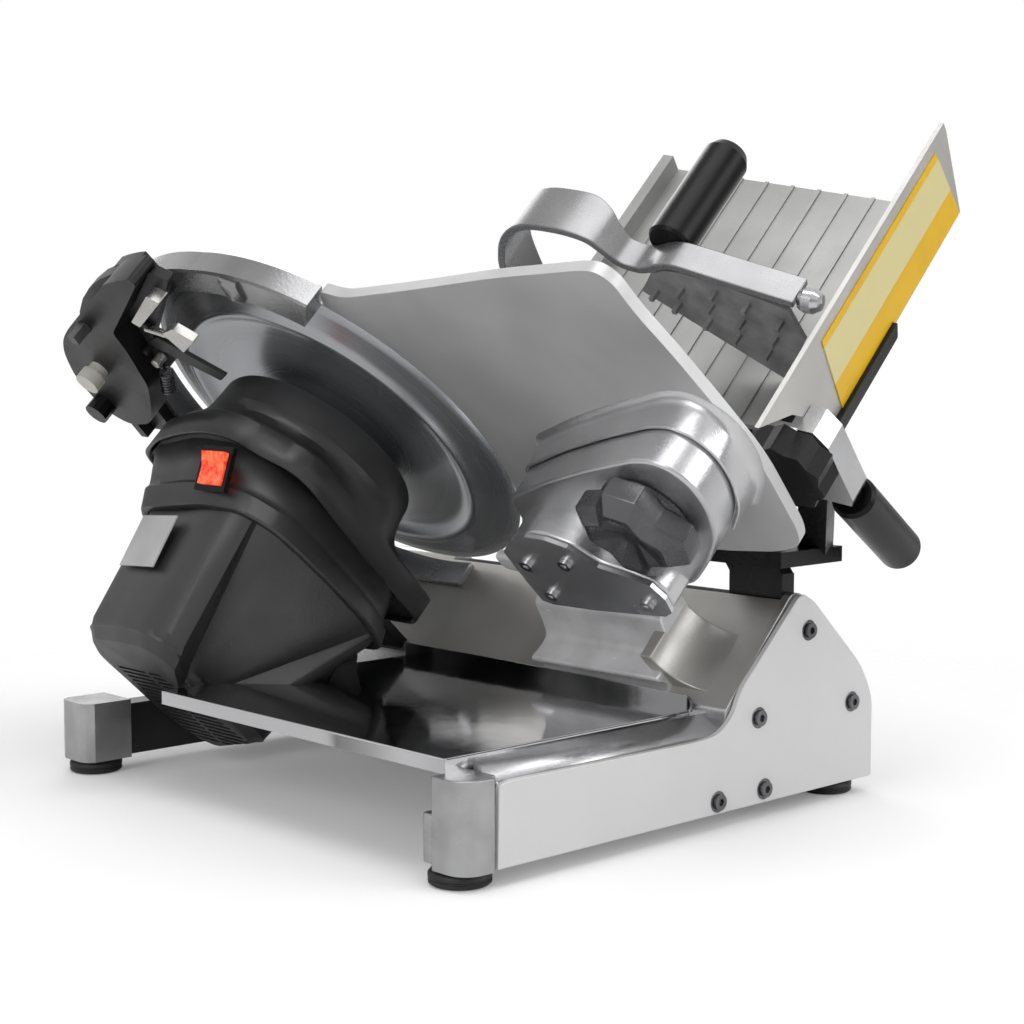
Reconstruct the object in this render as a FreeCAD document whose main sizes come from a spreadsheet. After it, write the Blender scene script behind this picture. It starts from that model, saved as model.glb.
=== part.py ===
import FreeCAD, Part
import math
import os

import Sketcher

doc = FreeCAD.newDocument("gravity_feed_slicer")

# Driving sizes in millimetres and degrees; z is zero on the floor, -y is the operator's side
SIZES = {
    "tilt_angle": 46.4,
    "lean_angle": 15,
    "shift_x": 45.795,
    "shift_y": 53.536,
    "blade_x": -60,
    "blade_y": 49.2,
    "blade_z": 242.2,
    "blade_radius": 150,
    "ridge_radius": 118.4,
    "ridge_depth": 9.5,
    "guard_inner": 153,
    "guard_outer": 172,
    "guard_back": 22,
    "guard_front": 3,
    "bridge_inner": 155,
    "bridge_outer": 158.5,
    "edge_inner": 155,
    "edge_outer": 175,
    "base_front": -265.2,
    "base_rear": 150,
    "base_right": 141,
    "base_bottom": 9,
    "base_wall": 5.5,
    "panel_thick": 4,
    "foot_radius": 18,
    "tray_left": -215,
    "tray_front": -244,
    "tray_rear": 39.5,
    "tray_top": 70.5,
    "tray_sheet": 1.5,
    "rail_x": 62,
    "rail_z": 72,
    "rail_radius": 10,
    "guide_x": 112,
    "guide_z": 46,
    "guide_radius": 5,
    "drive_low": -82,
    "drive_high": -74,
    "motor_down": 60.5,
    "motor_back": 42.8,
    "motor_radius": 36,
    "motor_length": 88,
    "blade_pulley_radius": 50,
    "motor_pulley_radius": 12,
    "gauge_sheet": 8,
    "shroud_depth": 22,
    "knob_u": -2,
    "knob_y": -332,
    "boss_face": -53,
    "arm_face": -74,
    "food_level": 35.4,
    "food_sheet": 4.4,
    "food_near": -368,
    "food_far": -157,
    "food_low": 54,
    "food_high": 251,
    "rib_pitch": 20,
    "wall_top": 107,
    "wall_sheet": 3,
    "rod_u": 5,
    "rod_y": -178,
    "rod_radius": 7,
    "pusher_low": 90,
    "pusher_width": 20,
    "arch_width": 34,
    "grip_radius": 15,
    "grip_length": 84,
    "handle_radius": 14,
    "handle_length": 100,
    "clamp_radius": 28,
    "running_gap": 0.4,
}


class Dim:
    """A number that remembers the sheet expression it came from."""

    def __init__(self, value, text):
        self.value = value
        self.text = text

    def join(self, sign, other, value):
        return Dim(value, f"({self.text} {sign} {text_of(other)})")

    def __add__(self, other):
        return self.join("+", other, self.value + value_of(other))

    def __sub__(self, other):
        return self.join("-", other, self.value - value_of(other))

    def __mul__(self, other):
        return self.join("*", other, self.value * value_of(other))

    def __truediv__(self, other):
        return self.join("/", other, self.value / value_of(other))

    def __neg__(self):
        return Dim(-self.value, f"(0 - {self.text})")

    def __radd__(self, other):
        return Dim(value_of(other) + self.value, f"({text_of(other)} + {self.text})")

    def __rsub__(self, other):
        return Dim(value_of(other) - self.value, f"({text_of(other)} - {self.text})")


def value_of(amount):
    return amount.value if isinstance(amount, Dim) else float(amount)


def text_of(amount):
    return amount.text if isinstance(amount, Dim) else str(round(float(amount), 4))


def size(name):
    return Dim(float(SIZES[name]), "Sizes." + name)


sheet = doc.addObject("Spreadsheet::Sheet", "Sizes")
for row, (word, amount) in enumerate(SIZES.items(), start=1):
    sheet.set(f"A{row}", word)
    sheet.set(f"B{row}", str(amount))
    sheet.setAlias(f"B{row}", word)
doc.recompute()

# Frames: the machine, the tilted blade plane, and the food carriage that leans back in that plane
MACHINE = "placement(vector(Sizes.shift_x; Sizes.shift_y; 0); rotation(vector(0; 0; 1); 0))"
TO_BLADE = (
    "placement(vector(Sizes.blade_x; Sizes.blade_y; Sizes.blade_z);"
    " rotation(vector(0; 1; 0); 90 - Sizes.tilt_angle))"
)
TO_CARRIAGE = TO_BLADE + " * placement(vector(0; 0; 0); rotation(vector(0; 0; 1); Sizes.lean_angle))"
BLADE = MACHINE + " * " + TO_BLADE
CARRIAGE = MACHINE + " * " + TO_CARRIAGE
POINTING = {
    "+x": ((0, 1, 0), 90),
    "-x": ((0, 1, 0), -90),
    "+y": ((1, 0, 0), -90),
    "-y": ((1, 0, 0), 90),
    "+z": ((0, 0, 1), 0),
    "-z": ((1, 0, 0), 180),
}
NODES = {}


def bind(thing, path, amount):
    """Set a property, through the sheet where the amount comes from it."""
    thing.setExpression(path, text_of(amount))


def local(x=0, y=0, z=0, axis=(0, 0, 1), angle=0):
    """Expression text of a placement inside a frame."""
    spot = f"vector({text_of(x)}; {text_of(y)}; {text_of(z)})"
    turn = f"rotation(vector({axis[0]}; {axis[1]}; {axis[2]}); {text_of(angle)})"
    return f" * placement({spot}; {turn})"


def new_body(name, frame):
    body = doc.addObject("PartDesign::Body", name)
    body.Label = name
    body.setExpression("Placement", frame)
    NODES[name] = body
    return body


def new_sketch(body, name, plane, level):
    """A sketch on a plane of its own body, or on the blade or carriage plane seen from it."""
    sketch = body.newObject("Sketcher::SketchObject", name)
    role = plane if plane in ("XY", "XZ", "YZ") else "XY"
    base = [item for item in body.Origin.OriginFeatures if item.Role == role + "_Plane"][0]
    sketch.AttachmentSupport = (base, [""])
    sketch.MapMode = "FlatFace"
    if plane == "BLADE":
        sketch.setExpression("AttachmentOffset", TO_BLADE + local(z=level))
    elif plane == "CARRIAGE":
        sketch.setExpression("AttachmentOffset", TO_CARRIAGE + local(z=level))
    elif plane == "CARRIAGE_XZ":
        sketch.setExpression(
            "AttachmentOffset", TO_CARRIAGE + local(axis=(1, 0, 0), angle=90) + local(z=level),
        )
    else:
        bind(sketch, "AttachmentOffset.Base.z", level)
    return sketch


def pin(sketch, item, point, kind, amount):
    """Fix one coordinate of a point."""
    if not isinstance(amount, Dim) and abs(amount) < 1e-9:
        sketch.addConstraint(
            Sketcher.Constraint("PointOnObject", item, point, -2 if kind == "DistanceX" else -1),
        )
        return
    rule = sketch.addConstraint(Sketcher.Constraint(kind, -1, 1, item, point, value_of(amount)))
    if isinstance(amount, Dim):
        sketch.setExpression(f"Constraints[{rule}]", amount.text)


def draw_outline(sketch, points):
    first = sketch.GeometryCount
    count = len(points)
    spots = [FreeCAD.Vector(value_of(x), value_of(y), 0) for x, y in points]
    for index in range(count):
        sketch.addGeometry(Part.LineSegment(spots[index], spots[(index + 1) % count]))
    for index in range(count):
        following = first + (index + 1) % count
        sketch.addConstraint(Sketcher.Constraint("Coincident", first + index, 2, following, 1))
    for index, (x, y) in enumerate(points):
        pin(sketch, first + index, 1, "DistanceX", x)
        pin(sketch, first + index, 1, "DistanceY", y)


def draw_circle(sketch, x, y, radius):
    centre = FreeCAD.Vector(value_of(x), value_of(y), 0)
    item = sketch.addGeometry(Part.Circle(centre, FreeCAD.Vector(0, 0, 1), value_of(radius)))
    pin(sketch, item, 3, "DistanceX", x)
    pin(sketch, item, 3, "DistanceY", y)
    rule = sketch.addConstraint(Sketcher.Constraint("Radius", item, value_of(radius)))
    if isinstance(radius, Dim):
        sketch.setExpression(f"Constraints[{rule}]", radius.text)


def draw(sketch, wires):
    """A wire is a list of corners, or a tuple (x, y, radius) for a circle."""
    for wire in wires:
        if isinstance(wire, tuple):
            draw_circle(sketch, *wire)
        else:
            draw_outline(sketch, wire)


def grow(body, name, plane, low, high, *wires):
    """Add the drawn area between two levels along the plane's axis."""
    sketch = new_sketch(body, name + "_lines", plane, -high if plane.endswith("XZ") else low)
    draw(sketch, wires)
    pad = body.newObject("PartDesign::Pad", name)
    pad.Profile = sketch
    bind(pad, "Length", high - low)
    return pad


def cut(body, name, plane, low, high, *wires):
    """Take the drawn area away between two levels along the plane's axis."""
    sketch = new_sketch(body, name + "_lines", plane, -low if plane.endswith("XZ") else high)
    draw(sketch, wires)
    pocket = body.newObject("PartDesign::Pocket", name)
    pocket.Profile = sketch
    bind(pocket, "Length", high - low)
    return pocket


def turn(body, name, profile):
    """Spin a profile of (radius, height) corners about the body's z axis."""
    sketch = new_sketch(body, name + "_lines", "XZ", 0)
    draw(sketch, [profile])
    spin = body.newObject("PartDesign::Revolution", name)
    spin.Profile = sketch
    spin.ReferenceAxis = (sketch, ["V_Axis"])
    spin.Angle = 360
    return spin


def blend(body, name, plane, low, low_points, high, high_points, take=False):
    """Ruled solid between two outlines with matching corners."""
    lower = new_sketch(body, name + "_low_lines", plane, low)
    draw(lower, [low_points])
    upper = new_sketch(body, name + "_high_lines", plane, high)
    draw(upper, [high_points])
    kind = "PartDesign::SubtractiveLoft" if take else "PartDesign::AdditiveLoft"
    loft = body.newObject(kind, name)
    loft.Profile = lower
    loft.Sections = [upper]
    loft.Ruled = True
    return loft


def rod(name, frame, x, y, z, pointing, radius, length):
    """A plain round bar from a point along one direction of the frame."""
    bar = doc.addObject("Part::Cylinder", name)
    bar.Label = name
    bind(bar, "Radius", radius)
    bind(bar, "Height", length)
    axis, angle = POINTING[pointing]
    bar.setExpression("Placement", frame + local(x, y, z, axis, angle))
    return bar


def screw(name, frame, x, y, z, pointing, head, shank, length):
    """A round-headed screw with a hexagon socket; it points the way its shank goes."""
    axis, angle = POINTING[pointing]
    head_height = head * 0.55
    there = frame + local(x, y, z, axis, angle)
    cap = doc.addObject("Part::Cylinder", name + "_head")
    bind(cap, "Radius", head)
    bind(cap, "Height", head_height)
    cap.setExpression("Placement", there + local(z=-head_height))
    stem = doc.addObject("Part::Cylinder", name + "_shank")
    bind(stem, "Radius", shank)
    bind(stem, "Height", length)
    stem.setExpression("Placement", there)
    whole = doc.addObject("Part::Fuse", name + "_blank")
    whole.Base = cap
    whole.Tool = stem
    socket = doc.addObject("Part::Prism", name + "_socket")
    socket.Polygon = 6
    bind(socket, "Circumradius", head * 0.5)
    bind(socket, "Height", head_height * 0.6)
    socket.setExpression("Placement", there + local(z=-head_height - 0.01))
    result = doc.addObject("Part::Cut", name)
    result.Base = whole
    result.Tool = socket
    return result


def tube(name, frame, inner, outer, length):
    """A straight ring along the frame's z axis."""
    solid = doc.addObject("Part::Cylinder", name + "_outside")
    bind(solid, "Radius", outer)
    bind(solid, "Height", length)
    solid.setExpression("Placement", frame)
    bore = doc.addObject("Part::Cylinder", name + "_bore")
    bind(bore, "Radius", inner)
    bind(bore, "Height", length)
    bore.setExpression("Placement", frame)
    ring = doc.addObject("Part::Cut", name)
    ring.Base = solid
    ring.Tool = bore
    return ring


def group(name, things):
    """Several solids in one node: loose pieces of one kind, or the simple forms of one casting."""
    pack = doc.addObject("Part::Compound", name)
    pack.Label = name
    pack.Links = things
    for thing in things:
        NODES.pop(thing.Label, None)
    NODES[name] = pack
    return pack


def single(thing):
    NODES[thing.Label] = thing
    return thing


def up(points):
    """Corners given as (height up the blade plane, y) become frame corners (x, y)."""
    return [(-u, y) for u, y in points]


def ring_point(radius, degrees):
    """A point on a circle round the blade axis; 0 degrees is +y and 90 degrees is up the plane."""
    return (radius * math.sin(math.radians(degrees)), radius * math.cos(math.radians(degrees)))


def sector(inner, outer, start, end, steps=12):
    """Corners of a curved band round the blade axis, as (height, y)."""
    angles = [start + (end - start) * step / steps for step in range(steps + 1)]
    outside = [ring_point(outer, angle) for angle in angles]
    inside = [ring_point(inner, angle) for angle in reversed(angles)]
    return outside + inside


def inset(points, depth):
    """Move every side of an outline inwards by the same depth."""
    count = len(points)
    area = 0
    for index in range(count):
        x, y = points[index]
        next_x, next_y = points[(index + 1) % count]
        area += x * next_y - next_x * y
    side = 1 if area > 0 else -1
    moved = []
    for i in range(count):
        before, here, after = points[i - 1], points[i], points[(i + 1) % count]
        first = (here[0] - before[0], here[1] - before[1])
        second = (after[0] - here[0], after[1] - here[1])
        one = math.hypot(*first)
        two = math.hypot(*second)
        normal_a = (-first[1] / one * side, first[0] / one * side)
        normal_b = (-second[1] / two * side, second[0] / two * side)
        share = 1 + normal_a[0] * normal_b[0] + normal_a[1] * normal_b[1]
        moved.append((
            here[0] + depth * (normal_a[0] + normal_b[0]) / share,
            here[1] + depth * (normal_a[1] + normal_b[1]) / share,
        ))
    return moved


def box(low_x, high_x, low_y, high_y):
    return [(low_x, low_y), (high_x, low_y), (high_x, high_y), (low_x, high_y)]


# Named levels shared by several pieces
front = size("base_front")
rear = size("base_rear")
bottom = size("base_bottom")
right = size("base_right")
panel_front = front - 0.4 - size("panel_thick")
guard_inner = size("guard_inner")
gap = size("running_gap")
drive_low = size("drive_low")
drive_high = size("drive_high")
motor_x = size("motor_down")
motor_y = size("motor_back")
boss_face = size("boss_face")
arm_face = size("arm_face")
gauge = size("gauge_sheet")
knob_x = -size("knob_u")
knob_y = size("knob_y")

# Housing outlines as (height up the blade plane, y) round the blade centre
COVER_WIDE = [
    (56, 98), (72, 66), (81, 27), (85, -7), (82, -27), (76, -39), (62, -51), (49, -71), (31, -75), (3, -70),
    (-23, -67), (-65, -61), (-89, -61), (-112, -60), (-118, -50), (-118, 75), (-110, 92), (-60, 104),
    (0, 106),
]
COLLAR_HIGH = [
    (65.5, 79), (79.5, 11), (75.5, -35), (53.5, -63), (31.5, -75), (-20.5, -69), (-88.5, -62), (-106.5, -2),
    (-114.5, 0), (-117.5, 2), (-118, 21), (-118, 69), (-108, 91), (-50.5, 103), (29.5, 103),
]
COLLAR_LOW = [
    (47.5, 71), (59.5, -19), (57.5, -57), (37.5, -79), (-10.5, -87), (-60.5, -87), (-92.5, -74),
    (-98.5, -2.2),
    (-130.5, -1.2), (-138.5, 0.8), (-144.5, 12.8), (-144.5, 62.8), (-110.5, 90.8), (-50.5, 96.8),
    (19.5, 92.8),
]
MOTOR_END = [
    (29.5, 58.8), (35.5, 10.8), (33.5, -15.2), (25.5, -27.2), (15.5, -29.2), (7.5, -29.2), (0.5, -21.2),
    (-5.5, -2.2),
    (-35.5, -3.2), (-50.5, -35.2), (-85.5, -29.2), (-105.5, 40.8), (-98.5, 58.8), (-70.5, 74.8), (4.5, 76.8),
]
# Outline of the shroud behind the gauge plate and of the arm's lower end
SHROUD = [
    (0, -212), (20, -262), (34, -306), (45, -348), (45, -364), (38, -376), (24, -384), (2, -384), (-24, -374),
    (-52, -350), (-77, -322), (-77, -215), (-40, -205),
]
ARM_END = [
    (-25, -211), (-16, -222), (-7, -243), (-8, -259), (-14, -274), (-30, -288), (-37, -309), (-43, -322),
    (-55, -326),
    (-68, -323), (-73, -315), (-74, -301), (-77, -256), (-77, -217), (-74, -209), (-55, -209),
]
PANEL_SCREWS = ((71, 115), (117, 63), (22, 65), (28, 19), (-16, 18))
ARM_SCREWS = ((-35, -225), (-65, -225), (-30, -262), (-62, -308))

# Base casting: hollow hump with the carriage slot, and the front strip with the tray's seats
HUMP = [
    (-5, bottom), (right, bottom), (right, 62), (137, 71), (128, 87), (76, 134), (66, 139.5), (58.5, 139),
    (-5, 72.3),
]
CAVITY = [
    (1, 4), (right - size("base_wall"), 4), (right - size("base_wall"), 61), (131.5, 68.5), (123, 83),
    (76, 126.5), (56, 126.5), (1, 69),
]
base = new_body("base_hump", MACHINE)
grow(base, "hump", "XZ", front, rear, HUMP)
grow(base, "front_strip", "XZ", front, -222, box(-196, 0, 12, 58))
grow(base, "strip_slope", "YZ", -196, -5, [(-263, 57), (-263, 58.5), (-246.4, 68), (-246.4, 57)])
grow(base, "tray_boss_left", "XY", 50, 68.8, box(-178, -162, -238, -226))
grow(base, "tray_boss_right", "XY", 50, 68.8, box(-60, -44, -238, -226))
grow(base, "tray_shelf", "XY", 58, 68.8, box(-40, -2, 4, 30))
cut(base, "cavity", "XZ", front + 6.2, rear - 10, CAVITY)
cut(base, "slot", "XY", 100, 150, box(55, 75, front + 6.2, 56))
for number, (x, y) in enumerate(((102, -258), (102, 105))):
    grow(base, f"foot_pad_{number}", "XY", bottom, 24, box(x, right - 2, y, y + 34))
cut(
    base, "rail_seat", "XZ", front + 2, front + 7,
    (size("rail_x"), size("rail_z"), size("rail_radius") + 0.05),
)
cut(
    base, "guide_seat", "XZ", front + 2, front + 7,
    (size("guide_x"), size("guide_z"), size("guide_radius") + 0.05),
)
cut(base, "panel_bores", "XZ", front - 1, front + 5.2, *[(x, z, 2.7) for x, z in PANEL_SCREWS])

# Neck on the casting's slope, with the arm that carries the gauge plate and its screw
NECK = [
    (-41, 163.4), (-46.7, 157.6), (-38, 149.3), (-14, 143), (-5, 133), (-10, 124), (-6, 117), (-2, 110),
    (2, 100),
    (-5, 93), (-13, 87), (-11, 84), (-1, 83), (-1, 72), (10, 72), (34, 113), (9.6, 140), (-11, 160),
    (-22.5, 167.8),
    (-33.5, 156.2),
]
CORNER_CURVE = []
for step in range(7):
    angle = math.radians(15 * step)
    CORNER_CURVE.append((-127 - 30 * math.cos(angle), -294 + 30 * math.sin(angle)))
neck = new_body("base_neck", MACHINE)
grow(neck, "neck", "XZ", -215, -100, NECK)
grow(neck, "fillet", "BLADE", arm_face, -28, up(CORNER_CURVE + [(-127, -255), (-163, -255), (-163, -294)]))
grow(neck, "arm", "BLADE", boss_face, -26, up(inset(SHROUD, 3.2)))
grow(neck, "arm_foot", "BLADE", arm_face, boss_face + 2, up(ARM_END))
cut(neck, "hump_seat", "XZ", front - 1, rear + 1, HUMP)
cut(neck, "shaft_bore", "BLADE", boss_face - 1, -20, (knob_x, knob_y, 5 + gap))
cut(neck, "nut_bore", "BLADE", boss_face + 3.5, -20, (knob_x, knob_y, 11))
cut(neck, "gauge_bores", "BLADE", -71, -20, (50, -240, 6 + gap), (55, -290, 6 + gap))
cut(neck, "arm_bores", "BLADE", arm_face - 1, arm_face + 9, *[(-u, y, 2.7) for u, y in ARM_SCREWS])

# Drive plate that carries the blade's spindle and the motor, on a post from the same slope
drive = new_body("base_drive_plate", MACHINE)
grow(drive, "plate", "BLADE", drive_low, drive_high, up(inset(COVER_WIDE, 5)))
grow(drive, "post", "BLADE", drive_low, drive_high, up([(-100, -1), (-100, 74), (-161, 74), (-161, -1)]))
cut(drive, "hump_seat", "XZ", front - 1, rear + 1, HUMP)
cut(drive, "spindle_bore", "BLADE", drive_low - 1, drive_high + 1, (0, 0, 8.05))
cut(drive, "motor_bore", "BLADE", drive_low - 1, drive_high + 1, (motor_x, motor_y, 14))
group("base_casting", [base, neck, drive])

PANEL = [
    (-200, 9), (141, 9), (141, 62), (137, 72), (128, 87.5), (77, 134.5), (66, 140), (60, 138.5), (4, 85),
    (-3, 70),
    (-15, 61), (-33, 59), (-190, 60), (-199, 58),
]
panel = new_body("front_panel", MACHINE)
grow(panel, "sheet", "XZ", panel_front, front - 0.4, PANEL)
cut(panel, "screw_holes", "XZ", panel_front - 1, front + 1, *[(x, z, 2.7) for x, z in PANEL_SCREWS])
panel_screws = []
for number, (x, z) in enumerate(PANEL_SCREWS):
    panel_screws.append(screw(f"panel_screw_{number}", MACHINE, x, panel_front - 0.1, z, "+y", 5, 2.5, 9))
group("panel_screws", panel_screws)

corner = new_body("corner_block", MACHINE)
grow(corner, "block", "XY", bottom, 60, [
    (-200.4, -269.6), (-214, -269.6), (-221, -265), (-224, -258), (-224, -242),
    (-196.3, -242), (-196.3, -265), (-200.4, -265),
])
grow(corner, "lug", "XY", 12, 40, box(-222, -204, -242.5, -232))

beam = new_body("rear_beam", MACHINE)
grow(beam, "bar", "XZ", 131, 149, box(-187, -5.2, bottom, 45))
cap = new_body("beam_cap", MACHINE)
grow(
    cap, "cap", "XY", bottom, 50,
    [
        (-187.2, 122), (-216, 122), (-221, 125), (-223, 130), (-223, 150), (-221, 155), (-216, 158),
        (-187.2, 158),
    ],
)

cover = new_body("bottom_cover", MACHINE)
grow(cover, "sheet", "XY", bottom - 2, bottom - 0.1, box(-2, right - 3, -220, 100))

FEET = {
    "foot_front_left": (-206, -246), "foot_front_right": (120, -246), "foot_rear_left": (-205, 140),
    "foot_rear_right": (118, 128),
}
for name, (x, y) in FEET.items():
    foot = new_body(name, MACHINE + local(x, y, 0))
    turn(foot, "pad", [
        (0, 0), (size("foot_radius") - 1.5, 0), (size("foot_radius"), 2), (size("foot_radius"), 6),
        (size("foot_radius") - 4, bottom - 0.1), (0, bottom - 0.1),
    ])

# Receiving tray: one sheet with folded lips
tray_top = size("tray_top")
tray_low = tray_top - size("tray_sheet")
tray_left = size("tray_left")
tray_front = size("tray_front")
tray_rear = size("tray_rear")
tray = new_body("tray", MACHINE)
grow(tray, "floor", "XY", tray_low, tray_top, [
    (tray_left, tray_front), (-14, tray_front), (-8, tray_front + 2), (-5.4, tray_front + 8),
    (-5.4, tray_rear), (tray_left, tray_rear),
])
grow(tray, "front_lip", "XY", tray_top - 9, tray_top, box(tray_left, -14, tray_front, tray_front + 1.5))
grow(tray, "left_lip", "XY", tray_top - 9, tray_top, box(tray_left, tray_left + 1.5, tray_front, tray_rear))
grow(tray, "right_lip", "XY", tray_low, 81, box(-6.9, -5.4, tray_front + 8, tray_rear))

rail_x = size("rail_x")
rail_z = size("rail_z")
single(
    rod(
        "carriage_rod", MACHINE, rail_x, front + 2.1, rail_z, "+y", size("rail_radius"),
        rear - 10.1 - front - 2.1,
    ),
)
single(
    rod(
        "guide_bar", MACHINE, size("guide_x"), front + 2.1, size("guide_z"), "+y", size("guide_radius"),
        rear - 10.1 - front - 2.1,
    ),
)
single(rod("cable_gland", MACHINE, 110, rear + 0.1, 50, "+y", 9, 14))

# Guard ring round the blade in three arcs: the wide ring, a slim bridge where the stones reach
# the blade, and a flared tail; it is open on the operator's side where the gauge plate takes over


def fan(start, end, steps=12):
    """Corners of a wide fan round the blade axis, as (height, y), to take away that part of a ring."""
    return [(0, 0)] + [ring_point(400, start + (end - start) * step / steps) for step in range(steps + 1)]


guard_front = -size("guard_front")
guard_back = -size("guard_back")
RING_FOOT = -98
GAP_START = 22
GAP_END = 77
TAIL_END = 128.8
guard = new_body("guard_wide", BLADE)
grow(guard, "ring", "XY", guard_back, guard_front, (0, 0, size("guard_outer")), (0, 0, guard_inner))
cut(guard, "open_side", "XY", guard_back - 1, guard_front + 1, up(fan(GAP_START, RING_FOOT + 360)))
cut(guard, "flat_foot", "XY", guard_back - 1, guard_front + 1, up(box(-200, -156.9, -120, 120)))
bridge = new_body("guard_bridge", BLADE)
grow(bridge, "arc", "XY", guard_back, guard_front, (0, 0, size("bridge_outer")), (0, 0, size("bridge_inner")))
cut(bridge, "open_side", "XY", guard_back - 1, guard_front + 1, up(fan(GAP_END, GAP_START + 360)))
tail = new_body("guard_tail", BLADE)
grow(tail, "ring", "XY", guard_back, guard_front, (0, 0, size("guard_outer")), (0, 0, guard_inner))
grow(tail, "flare", "XY", guard_back, guard_front, up([
    ring_point(166, 98), ring_point(172.5, 99), ring_point(175, 108), ring_point(179, 118), ring_point(
        182, 127,
    ),
    ring_point(180, 130.5), ring_point(160, 130.5), ring_point(163, 115),
]))
cut(tail, "open_side", "XY", guard_back - 1, guard_front + 1, up(fan(TAIL_END, GAP_END + 360)))
group("guard_ring", [guard, bridge, tail])

# Blade: flat on the product side, ground bevel and a raised ridge on the back
blade_radius = size("blade_radius")
ridge = size("ridge_radius")
ridge_depth = -size("ridge_depth")
blade = new_body("blade", BLADE)
turn(blade, "disc", [
    (22, -12), (46, -12), (51, -6), (ridge - 10.4, -5.4), (ridge, ridge_depth),
    (blade_radius - 0.3, -0.5), (blade_radius, -0.1), (blade_radius - 12, -1.4), (22, -1.4),
])
BLADE_SCREWS = [ring_point(34, angle) for angle in (45, 135, 225, 315)]
cut(blade, "screw_holes", "XY", -13, 0, *[(x, y, 3.3) for x, y in BLADE_SCREWS])
blade_screws = []
for number, (x, y) in enumerate(BLADE_SCREWS):
    blade_screws.append(screw(f"blade_screw_{number}", BLADE, x, y, -1.3, "-z", 5.5, 3, 18))
group("blade_screws", blade_screws)

# Belt drive behind the blade
pulley_radius = size("blade_pulley_radius")
pulley = new_body("blade_pulley", BLADE)
turn(pulley, "wheel", [
    (16.1, -66), (30, -66), (30, -58), (44, -58), (44, -66), (pulley_radius, -66), (pulley_radius, -44),
    (30, -44), (28, -38),
    (28, -26), (46, -22), (46, -12.1), (16.1, -12.1),
])
cut(pulley, "screw_holes", "XY", -20.5, -11, *[(x, y, 3.05) for x, y in BLADE_SCREWS])
spindle = new_body("blade_spindle", BLADE)
turn(
    spindle, "shaft",
    [
        (0, -92), (8, -92), (8, drive_high + 0.1), (13, drive_high + 0.1), (13, -67), (8, -67), (8, -26),
        (0, -26),
    ],
)
bearing_rings = []
for number, low in enumerate((-65.9, -40)):
    bearing_rings.append(tube(f"bearing_{number}", BLADE + local(z=low), 8.1, 16, 10))
group("spindle_bearings", bearing_rings)

MOTOR = BLADE + local(motor_x, motor_y, 0)
motor_radius = size("motor_radius")
motor_low = drive_low - 0.2 - size("motor_length")
motor = new_body("motor_body", MOTOR)
turn(
    motor, "shell",
    [(8, motor_low), (motor_radius, motor_low), (motor_radius, drive_low - 0.2), (8, drive_low - 0.2)],
)
cut(motor, "rotor_room", "XY", motor_low + 12, drive_low - 12, (0, 0, 22))
rotor = new_body("motor_rotor", MOTOR)
turn(rotor, "shaft", [
    (0, motor_low - 18), (5, motor_low - 18), (5, motor_low + 16), (21, motor_low + 16),
    (21, drive_low - 16), (5, drive_low - 16), (5, -44), (0, -44),
])
cooling_fan = new_body("motor_fan", MOTOR)
grow(cooling_fan, "hub", "XY", motor_low - 14, motor_low - 4, (0, 0, 12), (0, 0, 5.05))
for number in range(6):
    angle = math.radians(60 * number)
    across = (-math.sin(angle) * 1.2, math.cos(angle) * 1.2)
    start = (math.cos(angle) * 10, math.sin(angle) * 10)
    end = (math.cos(angle) * 30, math.sin(angle) * 30)
    grow(cooling_fan, f"vane_{number}", "XY", motor_low - 13, motor_low - 5, [
        (start[0] - across[0], start[1] - across[1]), (end[0] - across[0], end[1] - across[1]),
        (end[0] + across[0], end[1] + across[1]), (start[0] + across[0], start[1] + across[1]),
    ])
small_radius = size("motor_pulley_radius")
small_pulley = new_body("motor_pulley", MOTOR)
turn(small_pulley, "wheel", [(5.05, -67), (small_radius, -67), (small_radius, -43), (5.05, -43)])


def belt_outline(first_radius, second_radius):
    """Closed run of a flat belt round the two pulleys, with outside tangents."""
    span_x = SIZES["motor_down"]
    span_y = SIZES["motor_back"]
    heading = math.atan2(span_y, span_x)
    lean = math.acos((first_radius - second_radius) / math.hypot(span_x, span_y))
    points = []
    for step in range(25):
        angle = heading + lean + (2 * math.pi - 2 * lean) * step / 24
        points.append((first_radius * math.cos(angle), first_radius * math.sin(angle)))
    for step in range(11):
        angle = heading - lean + 2 * lean * step / 10
        points.append((span_x + second_radius * math.cos(angle), span_y + second_radius * math.sin(angle)))
    return points


belt = new_body("drive_belt", BLADE)
grow(belt, "loop", "XY", -64, -46, belt_outline(53.2, 15.2), belt_outline(50.7, 12.7))
capacitor = rod("capacitor", BLADE, 8, -38, drive_low - 0.2, "-z", 15, 60)
single(capacitor)

# Dark housings: belt cover towards the blade, then the switch collar and the motor cover
COVER_RIM = [ring_point(76, math.degrees(math.atan2(u, y))) for u, y in COVER_WIDE]
belt_cover = new_body("belt_cover", BLADE)
grow(belt_cover, "skirt", "XY", drive_low - 1.8, -62, up(COVER_WIDE))
blend(belt_cover, "shoulder", "XY", -62, up(COVER_WIDE), -24, up(COVER_RIM))
cut(belt_cover, "skirt_room", "XY", drive_low - 2, -62, up(inset(COVER_WIDE, 3)))
blend(
    belt_cover, "shoulder_room", "XY", -62, up(inset(COVER_WIDE, 3)), -28, up(inset(COVER_RIM, 4)),
    take=True,
)
cut(belt_cover, "hub_opening", "XY", -30, -20, (0, 0, 49))
cut(belt_cover, "post_opening", "XY", drive_low - 3, drive_high + 2, up(box(-125, -108, -3, 76)))

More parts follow.
